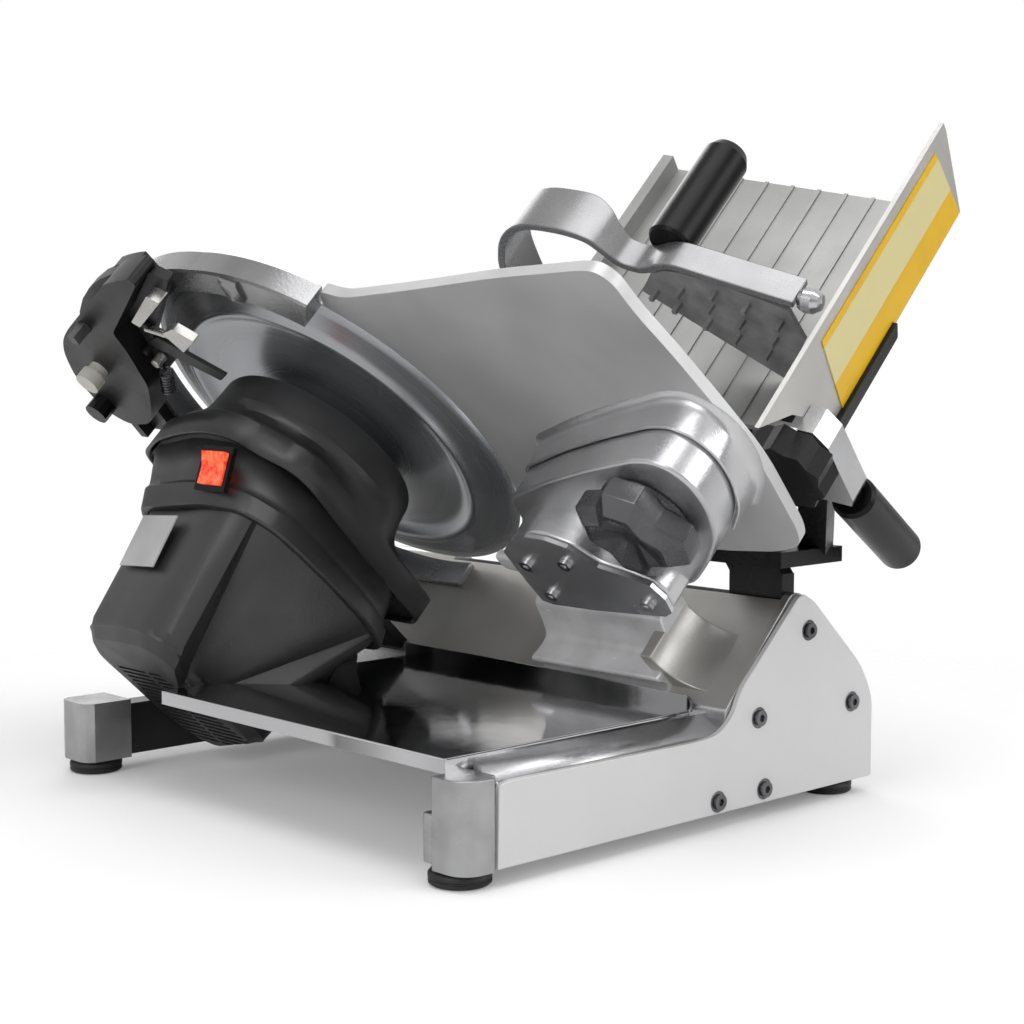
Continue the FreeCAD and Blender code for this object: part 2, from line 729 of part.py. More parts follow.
collar = new_body("switch_collar", BLADE)
blend(collar, "shell", "XY", -124, up(COLLAR_LOW), -84.2, up(COLLAR_HIGH))
blend(collar, "room", "XY", -124, up(inset(COLLAR_LOW, 3)), -84.2, up(inset(COLLAR_HIGH, 3)), take=True)
motor_cover = new_body("motor_cover", BLADE)
blend(motor_cover, "shell", "XY", -220, up(MOTOR_END), -124.2, up(COLLAR_LOW))
blend(
    motor_cover, "room", "XY", -216.5, up(inset(MOTOR_END, 3.5)), -124.2, up(inset(COLLAR_LOW, 3)),
    take=True,
)
LOUVRES = [(-12, 6), (-24, 4), (-36, 2), (-48, -4), (-60, -10), (-72, -14), (-84, -8)]
for number, (u, y) in enumerate(LOUVRES):
    cut(motor_cover, f"louvre_{number}", "XY", -221, -216, up(box(u - 2.2, u + 2.2, y, 56)))

# Switch on the collar's upper facet, and the bare rating plate on the motor cover
SWITCH = BLADE + local(-68.7, -30, -103.1, (0, 1, 0), -116.6)
bezel = new_body("switch_bezel", SWITCH)
grow(bezel, "frame", "XY", 1.2, 4.6, box(-15, 15, -17, 17), box(-11.4, 11.4, -13.5, 13.5))
cut(bezel, "pin_bores", "XZ", -16.3, 16.3, (0, 3, 0.9 + 0.3))
rocker = new_body("switch_rocker", SWITCH)
grow(
    rocker, "key", "XZ", -13, 13,
    [(0, 1.6), (-10.8, 2.25), (-10.8, 5.8), (0, 5.4), (10.8, 8.15), (10.8, 4.55)],
)
grow(rocker, "pin", "XZ", -15.9, 15.9, (0, 3, 0.9))
RATING = BLADE + local(-48.2, 26, -152, (0, 1, 0), -102.3) + local(0, 0, 0, (1, 0, 0), -7.4)
rating = new_body("rating_plate", RATING)
grow(rating, "plate", "XY", 0, 1, box(-19, 19, -25, 25))

# Support arm end plate with four screws
end_plate = new_body("end_plate", BLADE)
grow(end_plate, "sheet", "XY", arm_face - 3, arm_face - 0.1, up(ARM_END))
cut(end_plate, "screw_holes", "XY", arm_face - 4, arm_face + 1, *[(-u, y, 2.7) for u, y in ARM_SCREWS])
arm_screws = []
for number, (u, y) in enumerate(ARM_SCREWS):
    arm_screws.append(screw(f"end_screw_{number}", BLADE, -u, y, arm_face - 3.1, "+z", 4.5, 2.5, 11))
group("end_plate_screws", arm_screws)

# Gauge plate with its shroud, lead nut and guide rods
GAUGE = [
    (135, -117), (130, -136), (132, -186), (141, -281), (144, -350), (142, -361), (136, -367), (111, -369),
    (79, -375), (40, -380), (-7, -385), (-69, -377), (-79, -373), (-88, -365), (-92, -350), (-96, -309),
    (-96, -110),
    (-60, -60), (60, -60), (117, -98),
]
gauge_plate = new_body("gauge_face", BLADE)
grow(gauge_plate, "plate", "XY", -gauge, -0.1, up(GAUGE))
cut(gauge_plate, "edge_seat", "XY", -gauge - 1, 1, (0, 0, size("edge_outer")))
gauge_edge = new_body("gauge_edge", BLADE)
grow(gauge_edge, "strip", "XY", -gauge, -0.1, up(GAUGE))
cut(gauge_edge, "blade_clearance", "XY", -gauge - 1, 1, (0, 0, size("edge_inner")))
cut(gauge_edge, "plate_side", "XY", -gauge - 1, 1, (0, 0, 500), (0, 0, size("edge_outer")))
gauge_shroud = new_body("gauge_shroud", BLADE)
grow(gauge_shroud, "wall", "XY", -gauge - size("shroud_depth"), -gauge, up(SHROUD), up(inset(SHROUD, 2.2)))
lead_nut = new_body("lead_nut", BLADE)
grow(lead_nut, "sleeve", "XY", -36, -gauge, (knob_x, knob_y, 10), (knob_x, knob_y, 5 + gap))
group("gauge_plate", [gauge_plate, gauge_edge, gauge_shroud, lead_nut])
gauge_rods = []
for number, (x, y) in enumerate(((50, -240), (55, -290))):
    gauge_rods.append(rod(f"gauge_rod_{number}", BLADE, x, y, -8.1, "-z", 6, 46))
group("gauge_rods", gauge_rods)
KNOB = BLADE + local(knob_x, knob_y, 0)
knob_shaft = new_body("knob_shaft", KNOB)
turn(knob_shaft, "screw", [(0, -68), (5, -68), (5, -21.5), (0, -21.5)])
thickness_knob = new_body("thickness_knob", KNOB)
grow(thickness_knob, "collar", "XY", boss_face - 6, boss_face - 0.4, (0, 0, 29), (0, 0, 5.05))
STAR = []
for number in range(4):
    for turn_by, radius in ((-45, 22), (-17, 38), (17, 38)):
        angle = math.radians(90 * number + 20 + turn_by)
        STAR.append((radius * math.cos(angle), radius * math.sin(angle)))
grow(thickness_knob, "wings", "XY", boss_face - 27, boss_face - 5, STAR)
cut(thickness_knob, "shaft_bore", "XY", boss_face - 16, boss_face, (0, 0, 5.05))

# Carriage: slider on the rail, black arm, ribbed food plate and its end wall
slider = new_body("carriage_slider", MACHINE)
grow(
    slider, "block", "XZ", -258, -198, box(rail_x - 17, rail_x + 17, rail_z - 17, 90),
    (rail_x, rail_z, size("rail_radius") + gap),
)
grow(
    slider, "outrigger", "XZ", -250, -206,
    [(rail_x + 16, 55), (rail_x + 16, 62), (104, 62), (122, 56), (122, 36), (102, 36), (102, 55)],
    (size("guide_x"), size("guide_z"), size("guide_radius") + gap),
)
arm = new_body("carriage_arm", MACHINE)
grow(arm, "slot_plate", "XY", 90.1, 151, box(58, 70, -258, -214))
grow(arm, "leaning_plate", "YZ", 58, 70, [(-258, 150), (-214, 150), (-202, 166), (-246, 166)])
grow(arm, "crosspiece", "XY", 158, 168, box(34, 96, -276, -206))
grow(
    arm, "wall_bracket", "CARRIAGE_XZ", -316, -302,
    [(76, 24), (70, 52), (-30.9, 215), (-30.9, 62), (20, 24)],
)
grow(arm, "wall_flange", "CARRIAGE", 64, 150, up(box(20, 30.8, -367.8, -300)))
grow(arm, "hub_leg", "CARRIAGE", 38.1, 50, up([
    (-74, -352), (-74, -332), (-5, -350), (30.8, -355), (30.8, -370.8), (-2, -371),
]))

food = new_body("food_sheet", CARRIAGE)
food_level = size("food_level")
food_under = food_level - size("food_sheet")
food_near = size("food_near")
food_far = size("food_far")
food_low = size("food_low")
food_high = size("food_high")
grow(food, "plate", "XY", food_low, food_high, box(-food_level, -food_under, food_near + 0.2, food_far))
grow(food, "far_lip", "XY", 18, food_high, box(-48, -24, food_far - 1, food_far + 7))
for number in range(10):
    y = food_near + 18 + size("rib_pitch") * number
    grow(
        food, f"rib_{number}", "XY", food_low, food_high,
        box(-food_level - 1.2, -food_level + 0.5, y - 1.3, y + 1.3),
    )
slots = [box(food_near + start, food_near + end, 62, 118) for start, end in ((6, 14), (24, 34))]
cut(food, "drain_slots", "YZ", -food_level - 3, -food_under + 2, *slots)
lugs = []
for name, low in (("rod_lug_lower", 18), ("rod_lug_upper", 243)):
    lug = new_body(name, CARRIAGE)
    grow(lug, "block", "XY", low, low + 8, box(-24, 8, size("rod_y") - 12, food_far + 7))
    cut(lug, "rod_bore", "XY", low - 1, low + 9, (-size("rod_u"), size("rod_y"), size("rod_radius") + 0.3))
    lugs.append(lug)
group("food_plate", [food] + lugs)

wall = new_body("end_wall", CARRIAGE)
wall_out = food_near - size("wall_sheet")
wall_top = size("wall_top")
grow(wall, "sheet", "XZ", wall_out, food_near, [
    (-wall_top, 4), (-wall_top, 255), (-100, 256), (-35, food_high), (-34, 70), (-84, 34),
])
label = new_body("label_plate", CARRIAGE)
grow(label, "band", "XZ", wall_out - 1, wall_out - 0.1, [(-92, 74), (-92, 246), (-40, 246), (-40, 74)])

# Hub casting, clamp knob and push handle below the wall
hub = new_body("carriage_hub", CARRIAGE)
grow(hub, "block", "XY", 33, 52, up([
    (72, -371.4), (72, -382), (60, -389), (30, -392), (12, -394), (6.3, -392), (6.3, -371.4),
]))
grow(hub, "ear", "XY", 33, 38, up([(20, -374), (66, -374), (66, -356), (20, -356)]))
cut(hub, "stud_bore", "XY", 32, 53, (-50, -366, 4 + gap))
clamp_radius = size("clamp_radius")
LOBES = []
for number in range(20):
    angle = math.radians(18 * number)
    reach = SIZES["clamp_radius"] - (3.5 if number % 2 else 0)
    LOBES.append((reach * math.cos(angle), reach * math.sin(angle)))
CLAMP = CARRIAGE + local(-50, -366, 0)
clamp = new_body("clamp_knob", CLAMP)
grow(clamp, "wheel", "XY", 12, 31, LOBES)
grow(clamp, "stud", "XY", 30, 46, (0, 0, 4))
HANDLE = CARRIAGE + local(-0.4, -385.5, 44.5, (0, 1, 0), 72.9)
handle_radius = size("handle_radius")
handle_length = size("handle_length")
handle = new_body("push_handle", HANDLE)
turn(handle, "bar", [
    (0, -4), (6, -4), (6, 0), (handle_radius - 2, 0), (handle_radius, 3),
    (handle_radius, handle_length - 6), (handle_radius - 3, handle_length - 1), (0, handle_length),
])

# Food pusher on its own rod at the far edge of the food plate
rod_x = -size("rod_u")
rod_y = size("rod_y")
single(rod("pusher_rod", CARRIAGE, rod_x, rod_y, 18, "+z", size("rod_radius"), 233))
PATH = [
    (109, -350), (116, -309), (122, -275), (121, -263), (116, -252), (114, -242), (117, -229), (126, -219),
    (133, -211), (136, -200),
    (137, -186), (136, -170), (131, -157), (120, -145), (106, -137), (88, -131.5), (52, -130),
    (30, -132), (14, -139), (5, -150), (2, -168),
]


def ribbon(path, thickness):
    """Closed outline of a strip of even thickness on the outer side of a path."""
    outer = []
    for index, (u, y) in enumerate(path):
        before = path[max(index - 1, 0)]
        after = path[min(index + 1, len(path) - 1)]
        run = (after[0] - before[0], after[1] - before[1])
        length = math.hypot(*run)
        outer.append((u + run[1] / length * thickness, y - run[0] / length * thickness))
    return path + outer[::-1]


pusher_low = size("pusher_low")
pusher_high = pusher_low + size("pusher_width")
pusher = new_body("pusher_arm", CARRIAGE)
grow(
    pusher, "sleeve", "XY", pusher_low, pusher_low + 40, (rod_x, rod_y, 13),
    (rod_x, rod_y, size("rod_radius") + gap),
)
grow(pusher, "bar", "XY", pusher_low, pusher_high, up(ribbon(PATH, 5.5)))
grow(pusher, "arch", "XY", pusher_low, pusher_low + size("arch_width"), up(ribbon(PATH[6:], 5.5)))
cut(pusher, "rod_bore", "XY", pusher_low - 1, pusher_low + 41, (rod_x, rod_y, size("rod_radius") + gap))
grip_plate = new_body("grip_plate", CARRIAGE)
grow(grip_plate, "plate", "XY", pusher_low + 1, pusher_low + 4, up([
    (105, -345), (115.5, -309), (121, -275), (120, -263), (115, -252), (97, -240), (38.5, -326), (80, -350),
]))
TEETH = [
    (64, -322), (78, -330), (94, -338), (73, -303), (88, -310), (104, -318), (82, -285), (97, -291),
    (110, -297), (92, -266), (106, -272), (100, -252),
]
for number, (u, y) in enumerate(TEETH):
    grow(
        grip_plate, f"tooth_{number}", "XY", pusher_low - 7, pusher_low + 2,
        up([(u - 1.5, y - 1.5), (u + 1.5, y - 1.5), (u + 1.5, y + 1.5), (u - 1.5, y + 1.5)]),
    )
grip = new_body("pusher_grip", CARRIAGE + local(-122, -257, pusher_high + 0.1))
grip_radius = size("grip_radius")
grip_length = size("grip_length")
turn(
    grip, "bar",
    [
        (0, 0), (grip_radius - 1.5, 0), (grip_radius, 2), (grip_radius, grip_length - 9),
        (grip_radius - 3, grip_length - 3), (grip_radius - 8, grip_length), (0, grip_length),
    ],
)
bumper = new_body("pusher_bumper", CARRIAGE + local(-109, -351.3, pusher_low + 8, (1, 0, 0), 90))
turn(bumper, "ball", [(0, 0), (6, 0), (7.5, 3), (7.5, 9), (5, 13), (0, 13.8)])

# Sharpener over the top left of the blade
bracket = new_body("sharpener_bracket", BLADE)
grow(bracket, "band", "XY", -40, -30, up(sector(182, 190, 6, 89)))
grow(bracket, "low_foot", "XY", -31, guard_back - 0.1, up(sector(158, 190, 6, 17, 4)))
grow(bracket, "high_foot", "XY", -31, guard_back - 0.1, up(sector(158, 190, 79, 89, 4)))
SHARPENER = [
    (206, -35), (202, 0), (159, 100), (149, 117), (136, 131), (110, 148), (74, 152), (59, 134), (61, 104),
    (77, 82), (100, 56), (138, 28), (186, -45),
]
sharpener = new_body("sharpener_body", BLADE)
grow(sharpener, "cover", "XY", -62, -40.3, up(SHARPENER))
sharpener_chamber = inset(SHARPENER, 3)
cut(sharpener, "room", "XY", -58.8, -39, up(sharpener_chamber))
stone_x = -100
stone_y = 92
BUTTON = (-120, 102)
LOCK = (-84, 138)
middle = ring_point(176, 66.7)
cut(sharpener, "button_bores", "XY", -63, -57, (*BUTTON, 7.4), (-middle[0], middle[1], 5.4))
cut(sharpener, "lock_bore", "XY", -63, -57, (*LOCK, 4 + gap))
grind_button = new_body("grind_button", BLADE)
grow(grind_button, "cap", "XY", -77, -68, (*BUTTON, 9))
grow(grind_button, "stem", "XY", -69, -52, (*BUTTON, 7))
grow(
    grind_button, "carrier", "XY", -54, -47,
    up([(93, 86), (106, 85), (127, 95), (127, 109), (113, 109), (93, 99)]),
)
cut(grind_button, "stone_bore", "XY", -55, -46, (stone_x, stone_y, 2 + gap))
stone = new_body("grinding_stone", BLADE + local(stone_x, stone_y, 0))
turn(stone, "wheel", [
    (0, -55.8), (4, -55.8), (4, -54.4), (2, -54.4), (2, -46.6), (4, -46.6), (4, -30), (15, -28), (15, -15),
    (0, -15),
])
deburr_button = new_body("deburr_button", BLADE)
grow(deburr_button, "stem", "XY", -75, -40, up([
    (middle[0] - 4, middle[1] - 3), (middle[0] + 3, middle[1] - 4),
    (middle[0] + 4, middle[1] + 3), (middle[0] - 3, middle[1] + 4),
]))
grow(deburr_button, "carrier", "XY", -41, -25, up(sector(173.2, 180, 63.4, 70, 2)))
deburr = new_body(
    "deburring_stone",
    BLADE + local(0, 0, -32) + local(0, 0, 0, (0, 0, 1), 156.7) + local(0, 0, 0, (0, 1, 0), 90),
)
turn(deburr, "wheel", [(0, 160), (22, 160), (22, 170), (6, 170), (6, 172.8), (0, 172.8)])
lock = new_body("sharpener_lock", BLADE + local(*LOCK, 0))
grow(
    lock, "head", "XY", -74, -62.2,
    [(9 * math.cos(math.radians(30 * k)), 9 * math.sin(math.radians(30 * k))) for k in range(12)],
)
grow(lock, "stem", "XY", -62.3, -55, (0, 0, 4))

doc.recompute()

problems = []
for item in doc.Objects:
    if "Invalid" in item.State or "Error" in item.State:
        problems.append(item.Name)
for name, item in NODES.items():
    if item.Shape.isNull() or not item.Shape.isValid():
        problems.append(name + " shape")
if problems:
    raise RuntimeError("not built: " + ", ".join(problems))

os.makedirs("parts", exist_ok=True)
low = [1e9] * 3
high = [-1e9] * 3
for name, item in NODES.items():
    item.Shape.exportStep(f"parts/{name}.step")
    bounds = item.Shape.BoundBox
    low = [min(low[0], bounds.XMin), min(low[1], bounds.YMin), min(low[2], bounds.ZMin)]
    high = [max(high[0], bounds.XMax), max(high[1], bounds.YMax), max(high[2], bounds.ZMax)]
    print(f"{name:20s} volume {item.Shape.Volume:10.0f} solids {len(item.Shape.Solids)}")
print("pieces", len(NODES), "low", low, "high", high)
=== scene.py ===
import math

import bmesh
import bpy
from mathutils import Matrix, Vector


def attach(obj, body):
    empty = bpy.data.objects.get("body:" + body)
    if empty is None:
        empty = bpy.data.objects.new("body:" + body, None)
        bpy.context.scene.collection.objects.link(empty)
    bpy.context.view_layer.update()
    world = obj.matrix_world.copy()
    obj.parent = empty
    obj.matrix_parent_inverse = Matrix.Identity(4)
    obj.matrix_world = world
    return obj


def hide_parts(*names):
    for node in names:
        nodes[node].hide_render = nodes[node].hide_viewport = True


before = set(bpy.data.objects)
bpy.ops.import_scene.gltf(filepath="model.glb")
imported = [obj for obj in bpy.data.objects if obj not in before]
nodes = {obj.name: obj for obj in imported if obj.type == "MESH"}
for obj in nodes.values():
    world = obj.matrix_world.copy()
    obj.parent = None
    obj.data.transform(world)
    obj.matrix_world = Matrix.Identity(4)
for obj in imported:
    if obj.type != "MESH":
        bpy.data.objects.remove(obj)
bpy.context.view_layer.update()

# Studio
# A white floor that only catches the soft shadow, and that fades out for the eye away from the machine.
# The surround is white to the eye and pale in reflections, and plain and even as light.
FLOOR_DROP = -0.0005
FLOOR_REACH = 6
FLOOR_GLOW = 0.16
FADE_START = 0.42
FADE_END = 0.8


def calculated(tree, first, operation, second):
    """Arithmetic on two values; the second may be a number."""
    node = tree.nodes.new("ShaderNodeMath")
    node.operation = operation
    tree.links.new(first, node.inputs[0])
    if isinstance(second, (int, float)):
        node.inputs[1].default_value = second
    else:
        tree.links.new(second, node.inputs[1])
    return node.outputs[0]


def mixed(tree, factor, first, second):
    """The first shader where the factor is zero, the second where it is one."""
    mix = tree.nodes.new("ShaderNodeMixShader")
    for socket, source in zip(mix.inputs, (factor, first, second)):
        tree.links.new(source, socket)
    return mix.outputs[0]


floor_mesh = bpy.data.meshes.new("studio_floor")
floor_corners = [
    (side_x * FLOOR_REACH, side_y * FLOOR_REACH, FLOOR_DROP)
    for side_x, side_y in ((-1, -1), (1, -1), (1, 1), (-1, 1))
]
floor_mesh.from_pydata(floor_corners, [], [(0, 1, 2, 3)])
floor = bpy.data.objects.new("studio_floor", floor_mesh)
bpy.context.scene.collection.objects.link(floor)

floor_paint = bpy.data.materials.new("studio_floor_paint")
floor_paint.use_nodes = True
floor_tree = floor_paint.node_tree
floor_tree.nodes.clear()
floor_out = floor_tree.nodes.new("ShaderNodeOutputMaterial")
floor_diffuse = floor_tree.nodes.new("ShaderNodeBsdfDiffuse")
floor_diffuse.inputs["Color"].default_value = (0.9, 0.9, 0.9, 1)
floor_glow = floor_tree.nodes.new("ShaderNodeEmission")
floor_eye = floor_tree.nodes.new("ShaderNodeLightPath").outputs["Is Camera Ray"]
floor_seen = calculated(floor_tree, floor_eye, "MULTIPLY", FLOOR_GLOW)
floor_tree.links.new(floor_seen, floor_glow.inputs["Strength"])
floor_sum = floor_tree.nodes.new("ShaderNodeAddShader")
floor_tree.links.new(floor_diffuse.outputs[0], floor_sum.inputs[0])
floor_tree.links.new(floor_glow.outputs[0], floor_sum.inputs[1])
floor_far = floor_tree.nodes.new("ShaderNodeVectorMath")
floor_far.operation = "LENGTH"
floor_tree.links.new(floor_tree.nodes.new("ShaderNodeTexCoord").outputs["Object"], floor_far.inputs[0])
floor_fade = floor_tree.nodes.new("ShaderNodeMapRange")
floor_fade.interpolation_type = "SMOOTHSTEP"
floor_fade.inputs["From Min"].default_value = FADE_START
floor_fade.inputs["From Max"].default_value = FADE_END
floor_tree.links.new(floor_far.outputs["Value"], floor_fade.inputs["Value"])
floor_gone = calculated(floor_tree, floor_fade.outputs[0], "MULTIPLY", floor_eye)
floor_clear = floor_tree.nodes.new("ShaderNodeBsdfTransparent").outputs[0]
floor_look = mixed(floor_tree, floor_gone, floor_sum.outputs[0], floor_clear)
floor_tree.links.new(floor_look, floor_out.inputs["Surface"])
floor_mesh.materials.append(floor_paint)

world = bpy.data.worlds.new("studio_surround")
bpy.context.scene.world = world
world.use_nodes = True
sky = world.node_tree
sky.nodes.clear()


def surround(strength):
    """A plain white background of one strength."""
    glow = sky.nodes.new("ShaderNodeBackground")
    glow.inputs["Color"].default_value = (1, 1, 1, 1)
    glow.inputs["Strength"].default_value = strength
    return glow


sky_lit = surround(0.42)
sky_mirror = surround(1.0)
sky_white = surround(1.0)
sky_height = sky.nodes.new("ShaderNodeSeparateXYZ")
sky.links.new(sky.nodes.new("ShaderNodeTexCoord").outputs["Generated"], sky_height.inputs[0])
sky_shade = sky.nodes.new("ShaderNodeValToRGB")
sky_shade.color_ramp.interpolation = "B_SPLINE"
for spot, grey in ((0.02, 0.34), (0.3, 0.62), (0.5, 1.0), (0.72, 0.55), (0.98, 0.85)):
    sky_shade.color_ramp.elements.new(spot).color = (grey, grey, grey, 1)
sky_shade.color_ramp.elements.remove(sky_shade.color_ramp.elements[0])
sky_shade.color_ramp.elements.remove(sky_shade.color_ramp.elements[-1])
sky.links.new(sky_height.outputs["Z"], sky_shade.inputs[0])
sky.links.new(sky_shade.outputs[0], sky_mirror.inputs["Color"])
sky_ray = sky.nodes.new("ShaderNodeLightPath").outputs
sky_first = mixed(sky, sky_ray["Is Glossy Ray"], sky_lit.outputs[0], sky_mirror.outputs[0])
sky_either = calculated(sky, sky_ray["Is Camera Ray"], "MAXIMUM", sky_ray["Is Transmission Ray"])
sky_second = mixed(sky, sky_either, sky_first, sky_white.outputs[0])
sky.links.new(sky_second, sky.nodes.new("ShaderNodeOutputWorld").inputs["Surface"])

for lamp_name, spot, aim, width, power in (
    ("softbox_over", (-0.25, -0.5, 1.9), (0, 0, 0.15), 1.4, 16),
    ("softbox_left", (-1.9, -0.5, 1.0), (-0.05, 0.0, 0.2), 1.0, 10),
    ("softbox_right", (0.9, -1.9, 0.9), (0.0, -0.1, 0.15), 1.2, 12),
    ("softbox_back", (0.9, 1.6, 1.3), (0, 0, 0.2), 1.2, 10),
):
    lamp_data = bpy.data.lights.new(lamp_name, "AREA")
    lamp_data.shape = "SQUARE"
    lamp_data.size = width
    lamp_data.energy = power
    lamp = bpy.data.objects.new(lamp_name, lamp_data)
    lamp.location = spot
    lamp.rotation_mode = "QUATERNION"
    lamp.rotation_quaternion = (Vector(aim) - Vector(spot)).to_track_quat("-Z", "Y")
    bpy.context.scene.collection.objects.link(lamp)

camera_data = bpy.data.cameras.new("product_camera")
camera_data.lens = 66.8
camera_data.sensor_width = 36
camera = bpy.data.objects.new("product_camera", camera_data)
camera.location = (-0.843205, -0.964464, 0.296)
camera.rotation_euler = (math.radians(85.0), 0, math.radians(-43.1))
bpy.context.scene.collection.objects.link(camera)
bpy.context.scene.camera = camera
bpy.context.scene.view_settings.view_transform = "Standard"

# Base casting
# One aluminium casting: hollow hump, front strip, neck and gauge arm, with the drive plate.
# It is ground and polished by hand, so its shine and tone wander a little over the surface.
MM = 0.001
BLADE_TILT = math.radians(43.6)
PLATE_LEAN = math.radians(15)
machine = Matrix.Translation((0.045795, 0.053536, 0))
blade_centre = Matrix.Translation((-0.060, 0.0492, 0.2422))
blade_frame = machine @ blade_centre @ Matrix.Rotation(BLADE_TILT, 4, "Y")
carriage_frame = blade_frame @ Matrix.Rotation(PLATE_LEAN, 4, "Z")


def wander(tree, place, scale, low, high, stretch=(1, 1, 1)):
    """A soft uneven value between two limits, for tone, shine or height."""
    mapping = tree.nodes.new("ShaderNodeMapping")
    mapping.inputs["Scale"].default_value = stretch
    tree.links.new(place, mapping.inputs["Vector"])
    noise = tree.nodes.new("ShaderNodeTexNoise")
    noise.inputs["Scale"].default_value = scale
    noise.inputs["Detail"].default_value = 3
    tree.links.new(mapping.outputs[0], noise.inputs["Vector"])
    spread = tree.nodes.new("ShaderNodeMapRange")
    spread.inputs["From Min"].default_value = 0.3
    spread.inputs["From Max"].default_value = 0.7
    spread.inputs["To Min"].default_value = low
    spread.inputs["To Max"].default_value = high
    tree.links.new(noise.outputs["Fac"], spread.inputs["Value"])
    return spread.outputs[0]


def tinted(tree, factor, dark, light):
    """Colour between two; each is a tone or the output of another node."""
    mix = tree.nodes.new("ShaderNodeMix")
    mix.data_type = "RGBA"
    for socket, colour in ((mix.inputs[6], dark), (mix.inputs[7], light)):
        if isinstance(colour, tuple):
            socket.default_value = (*colour, 1)
        else:
            tree.links.new(colour, socket)
    tree.links.new(factor, mix.inputs[0])
    return mix.outputs[2]


def raised(tree, height, distance):
    """Surface relief from a height between 0 and 1."""
    bump = tree.nodes.new("ShaderNodeBump")
    bump.inputs["Distance"].default_value = distance
    tree.links.new(height, bump.inputs["Height"])
    return bump.outputs[0]


def fresh_finish(name, metallic):
    """A new material with its node tree, its shader and the piece's own coordinates."""
    material = bpy.data.materials.new(name)
    material.use_nodes = True
    tree = material.node_tree
    shader = tree.nodes["Principled BSDF"]
    shader.inputs["Metallic"].default_value = metallic
    place = tree.nodes.new("ShaderNodeTexCoord").outputs["Object"]
    return material, tree, shader, place


def metal(name, dark, light, shine, blotch=14, grain=600, stretch=(1, 1, 1), relief=0.00004, body=1.0):
    """Bare metal whose tone and shine wander, with fine marks along one way; body is how metallic it is."""
    material, tree, shader, place = fresh_finish(name, body)
    tree.links.new(tinted(tree, wander(tree, place, blotch, 0, 1), dark, light), shader.inputs["Base Color"])
    marks = wander(tree, place, grain, 0, 1, stretch)
    broad = wander(tree, place, blotch * 2.3, *shine)
    rough = calculated(tree, broad, "ADD", calculated(tree, marks, "MULTIPLY", 0.05))
    tree.links.new(rough, shader.inputs["Roughness"])
    tree.links.new(raised(tree, marks, relief), shader.inputs["Normal"])
    return material


def meshed(name, space, points, faces, merge):
    """Mesh from millimetre points in one of the frames, with every face turned outwards."""
    mesh = bpy.data.meshes.new(name)
    mesh.from_pydata([space @ (Vector(point) * MM) for point in points], [], faces)
    work = bmesh.new()
    work.from_mesh(mesh)
    if merge:
        bmesh.ops.remove_doubles(work, verts=work.verts, dist=1e-6)
    bmesh.ops.recalc_face_normals(work, faces=work.faces)
    work.to_mesh(mesh)
    work.free()
    return mesh


def build(name, space, points, faces, body, slot, material, *replaced):
    """A smooth piece that rides on its body and may stand in for solids of the frame."""
    mesh = meshed(name, space, points, faces, True)
    mesh.materials.append(material)
    mesh.shade_smooth()
    piece = bpy.data.objects.new(name, mesh)
    bpy.context.scene.collection.objects.link(piece)
    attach(piece, body)
    if replaced:
        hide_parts(*replaced)
    return piece


def stack(loops, low_cap=True, high_cap=True, closed=False):
    """Points and faces of the skin through a row of equal loops; a closed row joins its last to its first."""
    count = len(loops[0])
    points = [point for loop in loops for point in loop]
    faces = []
    for level in range(len(loops) if closed else len(loops) - 1):
        base = level * count
        above = (level + 1) % len(loops) * count
        for index in range(count):
            following = (index + 1) % count
            faces.append((base + index, base + following, above + following, above + index))
    if low_cap:
        faces.append(tuple(range(count))[::-1])
    if high_cap:
        faces.append(tuple(range(len(points) - count, len(points))))
    return points, faces


def lift(outline, level, axis="z"):
    """A flat outline placed at a level along an axis of its frame."""
    if axis == "y":
        return [(x, level, z) for x, z in outline]
    if axis == "x":
        return [(level, y, z) for y, z in outline]
    return [(x, y, level) for x, y in outline]


def prism(outline, low, high, axis="z"):
    """Points and faces of an outline drawn out between two levels."""
    return stack([lift(outline, low, axis), lift(outline, high, axis)])


def oblong(low, high):
    """Rectangle between its lowest and highest corner."""
    return [(low[0], low[1]), (high[0], low[1]), (high[0], high[1]), (low[0], high[1])]


def arc(centre, radius, first, last):
    """Eleven points on a circle from one angle to another, in degrees."""
    points = []
    for step in range(11):
        angle = math.radians(first + (last - first) * step / 10)
        points.append((centre[0] + radius * math.cos(angle), centre[1] + radius * math.sin(angle)))
    return points


def softened(points, reach, steps=4):
    """Outline with each corner turned into a short curve; reach is one length or one for each corner."""
    corners = [Vector(point) for point in points]
    reaches = reach if isinstance(reach, (list, tuple)) else [reach] * len(corners)
    result = []
    for index, here in enumerate(corners):
        back = corners[index - 1] - here
        ahead = corners[(index + 1) % len(corners)] - here
        length = min(reaches[index], 0.48 * back.length, 0.48 * ahead.length)
        start = here + back.normalized() * length
        end = here + ahead.normalized() * length
        for step in range(steps + 1):
            part = step / steps
            result.append(tuple(start * (1 - part) ** 2 + here * 2 * part * (1 - part) + end * part ** 2))
    return result


def up(points):
    """(height up the blade plane, y) to the frame's own (x, y)."""
    return [(-u, y) for u, y in points]


def inset(points, depth):
    """Every side of an outline moved inwards by the same depth."""
    count = len(points)
    area = 0
    for index in range(count):
        here = points[index]
        ahead = points[(index + 1) % count]
        area += here[0] * ahead[1] - ahead[0] * here[1]
    side = 1 if area > 0 else -1
    result = []
    for index in range(count):
        here = Vector(points[index])
        first = (here - Vector(points[index - 1])).normalized()
        second = (Vector(points[(index + 1) % count]) - here).normalized()
        normal_a = Vector((-first.y, first.x)) * side
        normal_b = Vector((-second.y, second.x)) * side
        result.append(tuple(here + (normal_a + normal_b) * depth / max(0.3, 1 + normal_a.dot(normal_b))))
    return result


